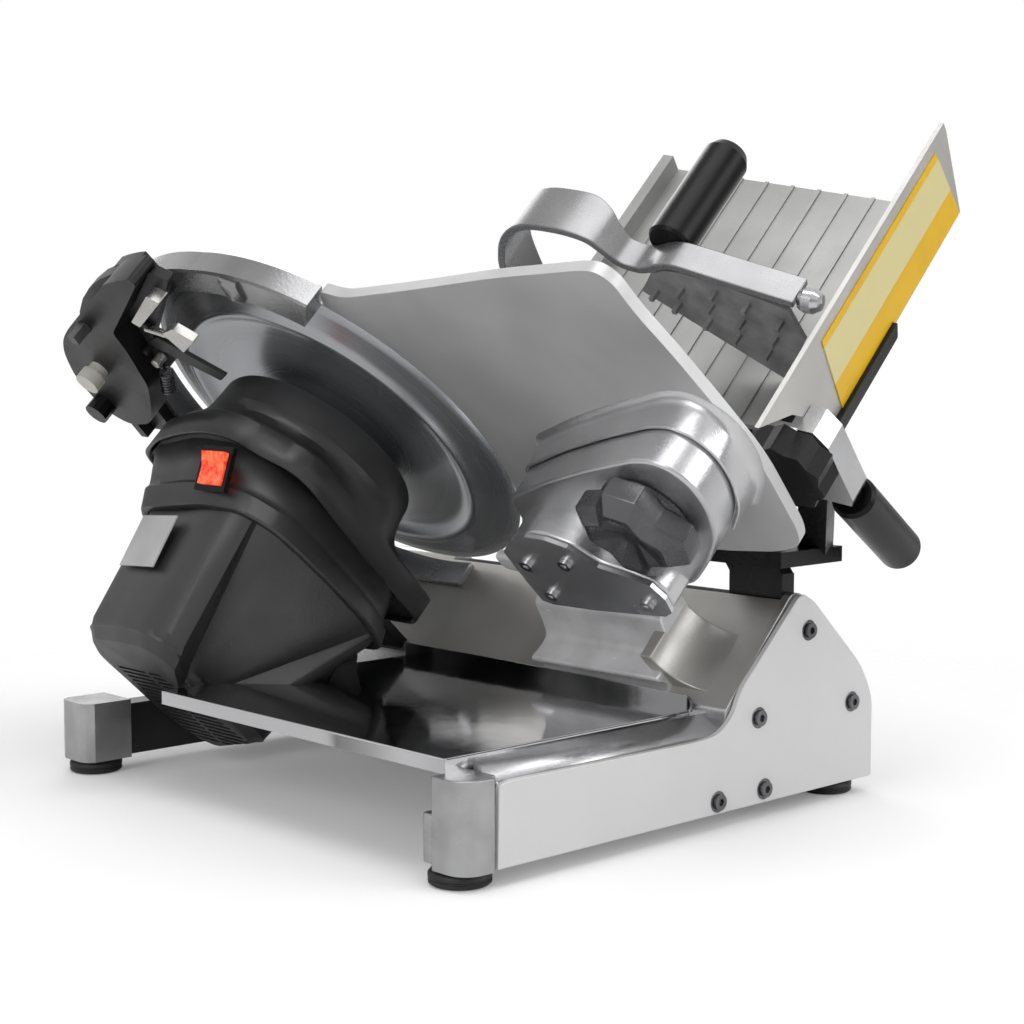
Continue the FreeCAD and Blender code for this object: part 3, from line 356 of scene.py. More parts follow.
def round_edges(piece, width, segments=3, angle=32):
    """A small radius on every edge sharper than the angle."""
    bevel = piece.modifiers.new("edge_radius", "BEVEL")
    bevel.width = width * MM
    bevel.segments = segments
    bevel.limit_method = "ANGLE"
    bevel.angle_limit = math.radians(angle)
    bevel.harden_normals = True


def crease(piece, angle=40):
    """A hard line in the smooth shading on every edge sharper than the angle."""
    piece.data.set_sharp_from_angle(angle=math.radians(angle))


def carve(piece, space, points, faces):
    """Take a shape out of a piece and keep the result as its mesh."""
    cutter_mesh = meshed("cutter", space, points, faces, False)
    cutter = bpy.data.objects.new("cutter", cutter_mesh)
    bpy.context.scene.collection.objects.link(cutter)
    bite = piece.modifiers.new("bite", "BOOLEAN")
    bite.operation = "DIFFERENCE"
    bite.solver = "EXACT"
    bite.object = cutter
    bpy.context.view_layer.update()
    carved = bpy.data.meshes.new_from_object(piece.evaluated_get(bpy.context.evaluated_depsgraph_get()))
    piece.modifiers.remove(bite)
    old_mesh = piece.data
    piece.data = carved
    carved.name = old_mesh.name
    bpy.data.meshes.remove(old_mesh)
    bpy.data.objects.remove(cutter)
    bpy.data.meshes.remove(cutter_mesh)
    piece.data.shade_smooth()


def dress(node, material, edge):
    """Give a solid of the frame its finish, soft edges and smooth curved faces."""
    piece = nodes[node]
    piece.data.materials.clear()
    piece.data.materials.append(material)
    piece.data.shade_smooth()
    if edge:
        round_edges(piece, edge, 2)
    else:
        crease(piece, 32)


polished = metal(
    "polished_casting", (0.46, 0.46, 0.47), (0.62, 0.62, 0.63), (0.14, 0.24), stretch=(1, 6, 1), body=0.82,
)
satin = metal("satin_casting", (0.40, 0.39, 0.37), (0.50, 0.49, 0.47), (0.28, 0.38), body=0.6)
# Body, slot, finish and solid of every polished piece of this casting.
polished_cast = ("frame", "polished_casting", polished, "base_casting")

HUMP = [
    (-5, 9), (141, 9), (141, 62), (137, 71), (128, 87), (76, 134), (66, 139.5), (58.5, 139), (-5, 72.3),
]
CAVITY = [(1, 4), (135.5, 4), (135.5, 61), (131.5, 68.5), (123, 83), (76, 126.5), (56, 126.5), (1, 69)]
hump = build(
    "hump_casting", machine, *prism(softened(HUMP, [1, 1, 4, 6, 8, 8, 6, 3, 2]), -265.2, 150, "y"),
    *polished_cast,
)
carve(hump, machine, *prism(CAVITY, -259, 140, "y"))
carve(hump, machine, *prism(oblong((55, -259), (75, 56)), 100, 150))
# The wide sloping face below the blade is satin, the rest is polished.
hump.data.materials.append(satin)
for face in hump.data.polygons:
    if face.normal.x < -0.6 and face.normal.z > 0.5:
        face.material_index = 1
round_edges(hump, 0.8)
strip = build(
    "front_strip", machine, *prism(oblong((-196, 12), (0, 58)), -265.2, -222, "y"), *polished_cast,
)
round_edges(strip, 2)
build(
    "strip_slope", machine, *prism([(-263, 57), (-263, 58.5), (-246.4, 68), (-246.4, 57)], -196, -5, "x"),
    *polished_cast,
)
NECK = [
    (-41, 163.4), (-46.7, 157.6), (-38, 149.3), (-14, 143), (-5, 133), (-10, 124), (-6, 117), (-2, 110),
    (2, 100), (-5, 93), (-13, 87), (-11, 84), (-1, 83), (-1, 72), (10, 72), (34, 113), (9.6, 140),
    (-11, 160), (-22.5, 167.8), (-33.5, 156.2),
]
# A lighter, less metallic copy of the polished casting for the neck: its bright tone is painted sheen
# standing in for the reflections on the neck's waves.
painted_sheen_metal = metal(
    "neck_painted_sheen", (0.66, 0.66, 0.67), (0.92, 0.92, 0.93), (0.14, 0.24), blotch=30, grain=300,
    stretch=(1, 0.2, 1), relief=0.00001, body=0.3,
)
neck = build(
    "neck_casting", machine, *prism(softened(NECK, 5, 5), -215, -100, "y"), "frame", "polished_casting",
    painted_sheen_metal, "base_casting",
)
round_edges(neck, 3, 3, 50)
fillet_outline = arc((-127, -294), 30, 180, 90) + [(-127, -255), (-163, -255), (-163, -294)]
fillet = build(
    "neck_fillet", blade_frame, *prism(up(fillet_outline), -74, -28), "frame", "satin_casting", satin,
    "base_casting",
)
round_edges(fillet, 1)
SHROUD = [
    (0, -212), (20, -262), (34, -306), (45, -348), (45, -364), (38, -376), (24, -384), (2, -384),
    (-24, -374), (-52, -350), (-77, -322), (-77, -215), (-40, -205),
]
ARM_END = [
    (-25, -211), (-16, -222), (-7, -243), (-8, -259), (-14, -274), (-30, -288), (-37, -309), (-43, -322),
    (-55, -326), (-68, -323), (-73, -315), (-74, -301), (-77, -256), (-77, -217), (-74, -209), (-55, -209),
]
ARM_REACH = [8, 14, 14, 14, 8, 8, 12, 12, 14, 14, 10, 3, 8]
gauge_arm = build(
    "gauge_arm", blade_frame, *prism(softened(up(inset(SHROUD, 3.2)), ARM_REACH), -53, -26),
    *polished_cast,
)
round_edges(gauge_arm, 2.5, 3, 50)
arm_foot = build(
    "gauge_arm_foot", blade_frame, *prism(softened(up(ARM_END), 7), -74, -50), *polished_cast,
)
round_edges(arm_foot, 3.5, 4, 50)
COVER_WIDE = [
    (56, 98), (72, 66), (81, 27), (85, -7), (82, -27), (76, -39), (62, -51), (49, -71), (31, -75), (3, -70),
    (-23, -67), (-65, -61), (-89, -61), (-112, -60), (-118, -50), (-118, 75), (-110, 92), (-60, 104),
    (0, 106),
]
drive_paint = metal("drive_paint", (0.02, 0.02, 0.021), (0.035, 0.035, 0.036), (0.4, 0.5), body=0.2)
build(
    "drive_plate", blade_frame, *prism(up(inset(COVER_WIDE, 5)), -82, -74), "frame", "satin_casting",
    drive_paint, "base_casting",
)
build(
    "drive_post", blade_frame, *prism(up([(-100, -1), (-100, 74), (-161, 74), (-161, -1)]), -82, -74),
    "frame", "satin_casting", drive_paint, "base_casting",
)
for name, low, high, bottom, top in (
    ("foot_pad_front", (102, -258), (139, -224), 9, 24),
    ("foot_pad_rear", (102, 105), (139, 139), 9, 24),
    ("tray_boss_left", (-178, -238), (-162, -226), 50, 68.8),
    ("tray_boss_right", (-60, -238), (-44, -226), 50, 68.8),
    ("tray_boss_rear", (-40, 4), (-2, 30), 50, 68.8),
):
    build(name, machine, *prism(oblong(low, high), bottom, top), *polished_cast)

# Front panel and screws
# A cover sheet in near-white satin finish, held to the casting by round-headed steel screws.
# Each of them stands in a thin steel ring. Bright screws hold the gauge arm's end plate and the blade.


def plastic(name, dark, light, shine, grain=1500, relief=0.00006, coat=0.0, gleam=0.5):
    """Moulded plastic, paint or rubber with a fine skin."""
    material, tree, shader, place = fresh_finish(name, 0.0)
    shader.inputs["Specular IOR Level"].default_value = gleam
    tree.links.new(tinted(tree, wander(tree, place, 20, 0, 1), dark, light), shader.inputs["Base Color"])
    tree.links.new(wander(tree, place, 35, *shine), shader.inputs["Roughness"])
    tree.links.new(raised(tree, wander(tree, place, grain, 0, 1), relief), shader.inputs["Normal"])
    shader.inputs["Coat Weight"].default_value = coat
    return material


PANEL = [
    (-200, 9), (141, 9), (141, 62), (137, 72), (128, 87.5), (77, 134.5), (66, 140), (60, 138.5), (4, 85),
    (-3, 70), (-15, 61), (-33, 59), (-190, 60), (-199, 58),
]
PANEL_REACH = [1, 2, 6, 6, 8, 10, 4, 6, 8, 8, 8, 8, 3, 3]
PANEL_FACE = -269.6
PANEL_BACK = -265.6
PANEL_SCREWS = ((71, 115), (117, 63), (22, 65), (28, 19), (-16, 18))
panel_finish = plastic("panel_finish", (0.66, 0.66, 0.66), (0.68, 0.68, 0.68), (0.28, 0.32), coat=0.15)
panel = build(
    "front_panel_sheet", machine,
    *prism(softened(inset(PANEL, 1.2), PANEL_REACH, 5), PANEL_FACE, PANEL_BACK, "y"),
    "frame", "panel_white", panel_finish, "front_panel",
)
round_edges(panel, 0.9)
bright_steel = metal("bright_steel", (0.50, 0.50, 0.51), (0.66, 0.66, 0.67), (0.14, 0.22))
dark_steel = metal("dark_steel", (0.10, 0.10, 0.105), (0.20, 0.20, 0.21), (0.2, 0.3))
for node, finish in (
    ("panel_screws", dark_steel), ("end_plate_screws", bright_steel), ("blade_screws", bright_steel),
):
    dress(node, finish, 0.35)


def spun(profile, steps=96):
    """Points and faces of a profile of (radius, height) corners turned about its frame's z axis."""
    loops = []
    for step in range(steps):
        angle = 2 * math.pi * step / steps
        loops.append([(r * math.cos(angle), r * math.sin(angle), z) for r, z in profile])
    return stack(loops, False, False, True)


def shifted(space, x, y, z=0):
    """A frame moved by millimetres along its own axes."""
    return space @ Matrix.Translation((x * MM, y * MM, z * MM))


facing_front = Matrix.Rotation(math.radians(90), 4, "X")
for number, (x, z) in enumerate(PANEL_SCREWS):
    seat = build(
        f"screw_seat_{number}", shifted(machine, x, PANEL_FACE, z) @ facing_front,
        *spun([(5.3, 0), (6.7, 0), (6.7, 0.25), (6.4, 0.4), (5.3, 0.4)], 40),
        "frame", "screw_steel", dark_steel,
    )
    crease(seat)

# Corner block, rear beam and feet
# The front strip ends in a small polished corner casting. A bar at the back, near black with painted dark
# reflection, ends in a rounded cap over the rear left foot. A sheet closes the hump from below, and the feet
# are black rubber.
CORNER_BLOCK = [
    (-200.4, -269.6), (-214, -269.6), (-221, -265), (-224, -258), (-224, -242), (-196.3, -242),
    (-196.3, -265), (-200.4, -265),
]
corner_polish = metal(
    "corner_polish", (0.32, 0.32, 0.325), (0.44, 0.44, 0.445), (0.14, 0.24), blotch=40, stretch=(6, 6, 1),
    body=0.8,
)
corner_block = build(
    "corner_casting", machine, *prism(softened(CORNER_BLOCK, [2, 5, 4, 4, 2, 1, 1, 1]), 9, 62),
    "frame", "polished_casting", corner_polish, "corner_block",
)
round_edges(corner_block, 1.6)
corner_lug = build(
    "corner_lug", machine, *prism(softened(oblong((-222, -242.2), (-204, -232)), 3), 12, 40),
    "frame", "polished_casting", corner_polish, "corner_block",
)
round_edges(corner_lug, 1)
dress("beam_cap", corner_polish, 3.5)
# The rear bar's near-black colour is a painted dark reflection.
beam_painted_reflection = plastic("beam_painted_reflection", (0.020, 0.020, 0.021), (0.032, 0.032, 0.033), (0.25, 0.35))
dress("rear_beam", beam_painted_reflection, 1.5)
dress("bottom_cover", bright_steel, 0)
foot_rubber = plastic("foot_rubber", (0.010, 0.010, 0.010), (0.016, 0.016, 0.016), (0.45, 0.6), grain=500)
FOOT_PROFILE = [
    (0, 0), (16.5, 0), (17.8, 1), (18, 2.4), (17.4, 3), (17.4, 3.6), (18, 4.2), (18, 6.4), (17, 7.6),
    (14, 8.9), (0, 8.9),
]
for name, x, y in (
    ("front_left", -206, -246), ("front_right", 120, -246), ("rear_left", -205, 140),
    ("rear_right", 118, 128),
):
    foot = build(
        f"rubber_foot_{name}", shifted(machine, x, y), *spun(FOOT_PROFILE), "frame", "rubber_black",
        foot_rubber, f"foot_{name}",
    )
    crease(foot)

# Tray
# A sheet of mirror-polished stainless steel with its front and left edges folded down.
# Its right edge is turned up where it meets the casting.
mirror_sheet = metal(
    "tray_sheet", (0.50, 0.50, 0.51), (0.58, 0.58, 0.59), (0.04, 0.08), blotch=5, grain=60, relief=0.00003,
)
TRAY = [(-215, -244), (-12, -244), (-5.4, -237), (-5.4, 39.5), (-215, 39.5)]
tray = build(
    "tray_floor", machine, *prism(softened(TRAY, [1, 7, 7, 1, 1], 6), 69, 70.5), "frame", "tray_steel",
    mirror_sheet, "tray",
)
round_edges(tray, 0.5)


def run_at(path, index):
    """Way of a path at one of its points: the step between the point's neighbours."""
    return Vector(path[min(index + 1, len(path) - 1)]) - Vector(path[max(index - 1, 0)])


def wall_along(path, thickness, low, high):
    """Points and faces of a thin upright wall along a path; the heights may be given for each point."""
    loops = []
    for index, here in enumerate(path):
        run = run_at(path, index)
        side = Vector((-run.y, run.x)).normalized() * thickness
        bottom = low[index] if isinstance(low, list) else low
        top = high[index] if isinstance(high, list) else high
        loops.append([
            (here[0], here[1], bottom), (here[0] + side.x, here[1] + side.y, bottom),
            (here[0] + side.x, here[1] + side.y, top), (here[0], here[1], top),
        ])
    return stack(loops)


down_path = [(-14, -244), (-60, -244), (-214.9, -244), (-214.9, -243.9), (-214.9, -120), (-214.9, 39)]
down_lip = build(
    "tray_lip_down", machine, *wall_along(down_path, -1.5, 61.5, 70.4), "frame", "tray_steel",
    mirror_sheet, "tray",
)
round_edges(down_lip, 0.5)
raised_path = [(-24, -244)] + arc((-14.4, -235), 9, -90, 0) + [(-5.4, -150), (-5.4, 39.5)]
raised_tops = [70.6] + [70.6 + 7.5 * step / 10 for step in range(11)] + [79.5, 80.5]
up_lip = build(
    "tray_lip_up", machine, *wall_along(raised_path, 1.5, 69.2, raised_tops), "frame", "tray_steel",
    mirror_sheet, "tray",
)
round_edges(up_lip, 0.4)

# Carriage rail and other turned steel
# Ground round bars of bright steel: the rail and the guide bar inside the hump, the blade's spindle with
# its bearings, the two rods that guide the gauge plate, the screw that moves it, and the pusher's rod.
for node in (
    "carriage_rod", "guide_bar", "blade_spindle", "spindle_bearings", "gauge_rods", "knob_shaft",
    "pusher_rod",
):
    dress(node, bright_steel, 0.4)

# Guard ring
# The cast ring round the blade, open on the operator's side where the gauge plate takes over.
# It is thinner where the sharpener's stones reach the blade, and stands flat on the casting's slope.
RING_BORE = 153
RING_RIM = 172
RING_FOOT = 156.9
SLIM_BORE = 155
SLIM_RIM = 158.5
RING_FRONT = -3
RING_BACK = -22


def on_circle(radius, degrees):
    """Point at an angle round the blade; 0 degrees is +y and 90 degrees is up the blade plane."""
    return (-radius * math.sin(math.radians(degrees)), radius * math.cos(math.radians(degrees)))


ring_metal = metal("ring_metal", (0.26, 0.26, 0.265), (0.40, 0.40, 0.405), (0.16, 0.26), body=0.8)
ring_loops = []
wide_side = [-98 + step / 2 for step in range(241)]
slim_side = [22.02 + step / 2 for step in range(110)] + [76.98]
for degrees in wide_side + slim_side + [77 + step / 2 for step in range(105)]:
    slim = 22.01 < degrees < 76.99
    lean = max(0, min(1, (degrees - 119) / 10))
    outer = SLIM_RIM if slim else RING_RIM + 6.5 * max(0, min(1, (degrees - 98) / 30))
    inner = SLIM_BORE if slim else RING_BORE
    if degrees < 0:
        # Its lower end is cut off flat, where it stands on the casting's slope.
        outer = min(outer, RING_FOOT / max(0.01, -math.sin(math.radians(degrees))))
    outer = max(outer, inner + 0.6)
    edge = min(1.5, (outer - inner) / 3)
    corners = [
        (inner, RING_BACK), (inner, RING_FRONT), (outer - edge, RING_FRONT), (outer, RING_FRONT - edge),
        (outer, RING_BACK + edge), (outer - edge, RING_BACK),
    ]
    ring_loops.append([
        (*on_circle(radius, degrees + lean * (0.5 + (radius - RING_BORE) * 0.035)), level)
        for radius, level in corners
    ])
guard = build(
    "blade_guard_ring", blade_frame, *stack(ring_loops), "frame", "satin_casting", ring_metal, "guard_ring",
)
crease(guard, 30)
lug_loops = []
for degrees in (107.5, 109, 111, 112.5):
    crown = -26 if 108 < degrees < 112 else -24.5
    corners = [(154, -21), (154, crown + 1), (156, crown), (170, crown), (172, crown + 1), (172, -21)]
    lug_loops.append([(*on_circle(radius, degrees), level) for radius, level in corners])
ring_lug = build(
    "guard_ring_lug", blade_frame, *stack(lug_loops), "frame", "satin_casting", ring_metal, "guard_ring",
)
crease(ring_lug, 30)

# Blade
# Hardened steel, hollow ground: a dished back, a raised ridge and a long ground bevel to the edge.
# It is finished on a lathe, so the polish runs in fine circles.


def own_axes(tree, place, space):
    """The three coordinates of a point in one of the machine's own frames, in metres."""
    back = space.inverted()
    mapping = tree.nodes.new("ShaderNodeMapping")
    mapping.inputs["Location"].default_value = back.to_translation()
    mapping.inputs["Rotation"].default_value = back.to_euler()
    tree.links.new(place, mapping.inputs["Vector"])
    split = tree.nodes.new("ShaderNodeSeparateXYZ")
    tree.links.new(mapping.outputs[0], split.inputs[0])
    return split.outputs


def disc_metal(name, dark, light, shine):
    """Turned metal whose marks run round the blade's axis."""
    material, tree, shader, place = fresh_finish(name, 0.78)
    axes = own_axes(tree, place, blade_frame)
    across = calculated(tree, axes[0], "POWER", 2)
    square = calculated(tree, across, "ADD", calculated(tree, axes[1], "POWER", 2))
    flat = tree.nodes.new("ShaderNodeCombineXYZ")
    tree.links.new(calculated(tree, square, "POWER", 0.5), flat.inputs[0])
    circles = wander(tree, flat.outputs[0], 900, 0, 1)
    bands = wander(tree, flat.outputs[0], 45, 0, 1)
    tree.links.new(tinted(tree, bands, dark, light), shader.inputs["Base Color"])
    broad = wander(tree, flat.outputs[0], 60, *shine)
    rough = calculated(tree, broad, "ADD", calculated(tree, circles, "MULTIPLY", 0.04))
    tree.links.new(rough, shader.inputs["Roughness"])
    tree.links.new(raised(tree, circles, 0.000002), shader.inputs["Normal"])
    return material


blade_steel = disc_metal("blade_steel", (0.35, 0.36, 0.38), (0.40, 0.41, 0.43), (0.22, 0.26))
BLADE_PROFILE = [
    (22, -12), (46, -12), (51, -7), (56, -5.6), (80, -4.6), (104, -4.9), (110, -6), (114, -8.6),
    (116.5, -9.7), (118.4, -10), (120, -9.6), (121.4, -8.5), (128, -6), (140, -2.8), (149.7, -0.5),
    (150, -0.1), (138, -1.4), (22, -1.4),
]
blade = build(
    "slicing_blade", blade_frame, *spun(BLADE_PROFILE, 192), "blade_wheel", "blade_steel", blade_steel,
    "blade",
)
crease(blade)

# Belt drive and motor
# Dark machined iron, hidden under the housings: the pulley behind the blade, the motor with its small
# pulley, and the slider under the carriage arm. The belt between the pulleys is black rubber.
iron = metal("machined_iron", (0.10, 0.10, 0.105), (0.16, 0.16, 0.165), (0.35, 0.5))
for node in ("blade_pulley", "motor_body", "motor_rotor", "motor_pulley", "carriage_slider"):
    dress(node, iron, 0.5)
dress("drive_belt", foot_rubber, 0)

# Housings
# Three moulded shells in matte black: belt cover behind the blade, switch collar, motor cover.
# They have soft edges, a grained skin, a scooped shoulder and cooling slots in the motor's end.
# The fan, the capacitor and the cable gland are of the same plastic.
housing_skin = plastic("housing_skin", (0.022, 0.022, 0.023), (0.031, 0.031, 0.032), (0.32, 0.44), gleam=0.6)
for node in ("motor_fan", "capacitor", "cable_gland"):
    dress(node, housing_skin, 0.4)
COLLAR_HIGH = [
    (65.5, 79), (79.5, 11), (75.5, -35), (53.5, -63), (31.5, -75), (-20.5, -69), (-88.5, -62), (-106.5, -2),
    (-114.5, 0), (-117.5, 2), (-118, 21), (-118, 69), (-108, 91), (-50.5, 103), (29.5, 103),
]
COLLAR_LOW = [
    (47.5, 71), (59.5, -19), (57.5, -57), (37.5, -79), (-10.5, -87), (-60.5, -87), (-92.5, -74),
    (-98.5, -2.2), (-130.5, -1.2), (-138.5, 0.8), (-144.5, 12.8), (-144.5, 62.8), (-110.5, 90.8),
    (-50.5, 96.8), (19.5, 92.8),
]
MOTOR_END = [
    (29.5, 58.8), (35.5, 10.8), (33.5, -15.2), (25.5, -27.2), (15.5, -29.2), (7.5, -29.2), (0.5, -21.2),
    (-5.5, -2.2), (-35.5, -3.2), (-50.5, -35.2), (-85.5, -29.2), (-105.5, 40.8), (-98.5, 58.8),
    (-70.5, 74.8), (4.5, 76.8),
]
ROUND = 180


def polar(outline, centre):
    """Distances of an outline from a point inside it, at even angles all round."""
    result = []
    for step in range(ROUND):
        angle = 2 * math.pi * step / ROUND
        way = Vector((math.sin(angle), math.cos(angle)))
        best = 0
        for index in range(len(outline)):
            start = Vector(outline[index]) - Vector(centre)
            run = Vector(outline[(index + 1) % len(outline)]) - Vector(outline[index])
            cross = way.x * run.y - way.y * run.x
            if abs(cross) < 1e-9:
                continue
            reach = (start.x * run.y - start.y * run.x) / cross
            share = (start.x * way.y - start.y * way.x) / cross
            if -1e-9 <= share <= 1 + 1e-9 and reach > best:
                best = reach
        result.append(best)
    return result


def ring_of(radii, centre, level):
    """Loop from distances at even angles, in the blade's frame."""
    loop = []
    for step, radius in enumerate(radii):
        angle = 2 * math.pi * step / ROUND
        loop.append((-(centre[0] + radius * math.sin(angle)), centre[1] + radius * math.cos(angle), level))
    return loop


def between(first, second, share):
    """Distances part of the way from one outline to another."""
    return [a + (b - a) * share for a, b in zip(first, second)]


def shrunk(radii, depth):
    """Distances made shorter by the same depth all round."""
    return [radius - depth for radius in radii]


def thicken(piece, depth):
    """Give an open skin its wall, grown inwards."""
    wall = piece.modifiers.new("wall", "SOLIDIFY")
    wall.thickness = depth * MM
    wall.offset = -1


hub = (0, 0)
wide = polar(softened(COVER_WIDE, 12, 5), hub)
rim = [76.0] * ROUND
scoop = []
for step in range(ROUND):
    degrees = 360 * step / ROUND
    share = max(0, min(1, (degrees - 80) / 25, (215 - degrees) / 25))
    scoop.append(share * share * (3 - 2 * share))
cover_loops = [
    ring_of([radius] * ROUND, hub, level) for radius, level in ((49.0, -24), (72.0, -24), (75.0, -24.8))
]
cover_loops.append(ring_of(rim, hub, -27))
for level, share, depth in (
    (-38, 0.04, 0), (-46, 0.10, 0), (-48.5, 0.14, 3.0), (-52, 0.2, 5.0), (-56, 0.35, 5.0), (-60, 0.62, 3.4),
    (-62.5, 0.88, 1.2), (-65, 1.0, 0), (-83.8, 1.0, 0),
):
    radii = between(rim, wide, share)
    cover_loops.append(ring_of([r - depth * s for r, s in zip(radii, scoop)], hub, level))
belt_shell = build(
    "belt_housing", blade_frame, *stack(cover_loops, False, False), "frame", "housing_black", housing_skin,
    "belt_cover",
)
thicken(belt_shell, 2.6)

heart = (-28, 4)
collar_top = polar(softened(COLLAR_HIGH, 12, 5), heart)
collar_base = polar(softened(COLLAR_LOW, 12, 5), heart)
motor_far = polar(softened(MOTOR_END, 9, 5), heart)
collar_loops = [
    ring_of(shrunk(collar_top, 3), heart, -83.2),
    ring_of(shrunk(between(collar_top, collar_base, 0.5), 3.4), heart, -104),
    ring_of(shrunk(between(collar_top, collar_base, 0.62), 2.6), heart, -108),
    ring_of(shrunk(between(collar_top, collar_base, 0.7), 0), heart, -111),
    ring_of(between(collar_top, collar_base, 0.98), heart, -122.5),
    ring_of(shrunk(collar_base, 1.2), heart, -124),
    ring_of(shrunk(collar_base, 6), heart, -124.1),
]
collar_shell = build(
    "switch_housing", blade_frame, *stack(collar_loops, False, False), "frame", "housing_black",
    housing_skin, "switch_collar",
)
thicken(collar_shell, 2.4)
cover_start = shrunk(collar_base, 6.5)
motor_loops = [
    ring_of(cover_start, heart, -122),
    ring_of(between(cover_start, motor_far, 0.86), heart, -206),
    ring_of(motor_far, heart, -211),
    ring_of(motor_far, heart, -213),
    ring_of(shrunk(motor_far, 1.2), heart, -213.4),
    ring_of(shrunk(motor_far, 7), heart, -219.6),
    ring_of(shrunk(motor_far, 8.4), heart, -220),
]
motor_shell = build(
    "motor_housing", blade_frame, *stack(motor_loops), "frame", "housing_black", housing_skin,
    "motor_cover",
)
VENT_COUNT = 17
VENT_PITCH = 5
VENT_WIDTH = 2.6
vent_points = []
vent_faces = []
for number in range(VENT_COUNT):
    height = -10 - VENT_PITCH * number
    near_side = max(-24, 6 - 2 * number)
    for low_y, high_y in ((near_side, 20), (24, 58)):
        slot_outline = oblong((height, low_y), (height + VENT_WIDTH, high_y))
        points, faces = prism(up(slot_outline), -222, -217.2)
        vent_faces += [tuple(index + len(vent_points) for index in face) for face in faces]
        vent_points += points
carve(motor_shell, blade_frame, vent_points, vent_faces)
crease(belt_shell, 38)
crease(collar_shell, 38)
crease(motor_shell, 34)

# Switch and rating plate
# A red rocker of clear plastic, lit from inside, in a glossy black frame on the collar.
# Below it a small plate of pale metal is stuck on, left blank.
gloss_black = plastic("gloss_black", (0.004, 0.004, 0.004), (0.007, 0.007, 0.007), (0.16, 0.24), gleam=0.16)
dress("switch_bezel", gloss_black, 0.25)
red_key, red_tree, red_shader, red_place = fresh_finish("lit_key", 0.0)
glow = tinted(red_tree, wander(red_tree, red_place, 260, 0, 1), (0.62, 0.012, 0.004), (1.0, 0.16, 0.06))
red_tree.links.new(glow, red_shader.inputs["Base Color"])
red_tree.links.new(glow, red_shader.inputs["Emission Color"])
red_shader.inputs["Emission Strength"].default_value = 0.75
red_shader.inputs["Roughness"].default_value = 0.25
dress("switch_rocker", red_key, 0.25)
plate_metal = plastic("rating_metal", (0.42, 0.42, 0.42), (0.56, 0.56, 0.56), (0.35, 0.45))
dress("rating_plate", plate_metal, 0)

# Gauge plate
# The big brushed aluminium plate that sets the slice, with the cast shroud on its back.
# Its edge by the blade is hollowed to the blade's circle and bevelled.
# A polished D-shaped plate closes the end of the arm that carries it.
GAUGE = [
    (135, -117), (129, -133), (130, -150), (134, -205), (141, -281), (144, -350), (143, -361), (134, -368),
    (111, -369), (79, -375), (40, -380), (-7, -385), (-69, -377), (-84, -371), (-92, -350), (-96, -309),
    (-96, -110), (-60, -60), (60, -60), (117, -98),
]
GAUGE_REACH = [2, 14, 14, 20, 20, 8, 6, 6, 10, 14, 14, 20, 14, 10, 12, 12, 1, 1, 1, 3]
gauge_metal = metal(
    "gauge_metal", (0.46, 0.46, 0.465), (0.64, 0.64, 0.645), (0.36, 0.46), blotch=7, stretch=(1, 9, 1),
    body=0.6,
)
gauge = build(
    "gauge_plate_cast", blade_frame, *prism(softened(up(GAUGE), GAUGE_REACH, 5), -8, -0.1), "gauge",
    "gauge_aluminium", gauge_metal, "gauge_plate",
)
carve(gauge, blade_frame, *spun([(0, -20), (153, -20), (153, 4), (0, 4)], 180))
carve(gauge, blade_frame, *spun([(0, -2.6), (152.5, -2.6), (176, -8.4), (176, -16), (0, -16)], 180))
round_edges(gauge, 1.2, 3, 25)
SHROUD_EDGE = [
    (-64, -212), (-40, -205), (0, -212), (20, -262), (34, -306), (45, -348), (45, -364), (38, -376),
    (24, -384), (2, -384), (-24, -374), (-44, -357),
]
SHROUD_SECTION = [
    (-2.4, -29.2), (-1.6, -30), (-0.6, -30), (0, -29.2), (0, -15), (0.8, -11.5), (2.6, -9), (5.5, -7.9),
    (-2.4, -7.9),
]
shroud_middle = Vector((-20, -295))
shroud_path = softened(SHROUD_EDGE, [0.1, 8, 10, 14, 14, 10, 8, 8, 10, 14, 10, 0.1], 5)[4:-4]
shroud_loops = []
for index, here in enumerate(shroud_path):
    run = run_at(shroud_path, index)
    out = Vector((-run.y, run.x)).normalized()
    if out.dot(Vector(here) - shroud_middle) < 0:
        out = -out
    loop = []
    for reach, level in SHROUD_SECTION:
        spot = Vector(here) + out * reach
        loop.append((-spot.x, spot.y, level))
    shroud_loops.append(loop)
shroud = build(
    "gauge_shroud", blade_frame, *stack(shroud_loops), "gauge", "gauge_aluminium", polished, "gauge_plate",
)
crease(shroud, 35)
knob_frame = shifted(blade_frame, 2, -332)
nut = build(
    "lead_nut", knob_frame, *spun([(5.4, -36), (10, -36), (10, -8), (5.4, -8)], 48), "gauge",
    "gauge_aluminium", gauge_metal, "gauge_plate",
)
crease(nut)
dress("end_plate", polished, 0.6)

# Thickness knob
# A dark knob with four wedge-shaped wings, whose tops fall away to facets towards the middle.
# The wings stand on a round rim, and the knob sits on the end of the screw that moves the gauge plate.
knob_finish = metal("knob_metal", (0.06, 0.06, 0.065), (0.14, 0.14, 0.15), (0.18, 0.28), body=0.7)
KNOB_WINGS = []
for quarter in range(4):
    for turned, radius in ((-45, 27), (-17, 37.6), (17, 37.6)):
        KNOB_WINGS.append((turned + 90 * quarter + 20, radius))


def wings(share, level):
    """The knob's outline at a level, its wings drawn in by a share."""
    corners = []
    for degrees, radius in KNOB_WINGS:
        angle = math.radians(degrees)
        corners.append((radius * share * math.cos(angle), radius * share * math.sin(angle)))
    return lift(softened(corners, 1.6, 2), level)


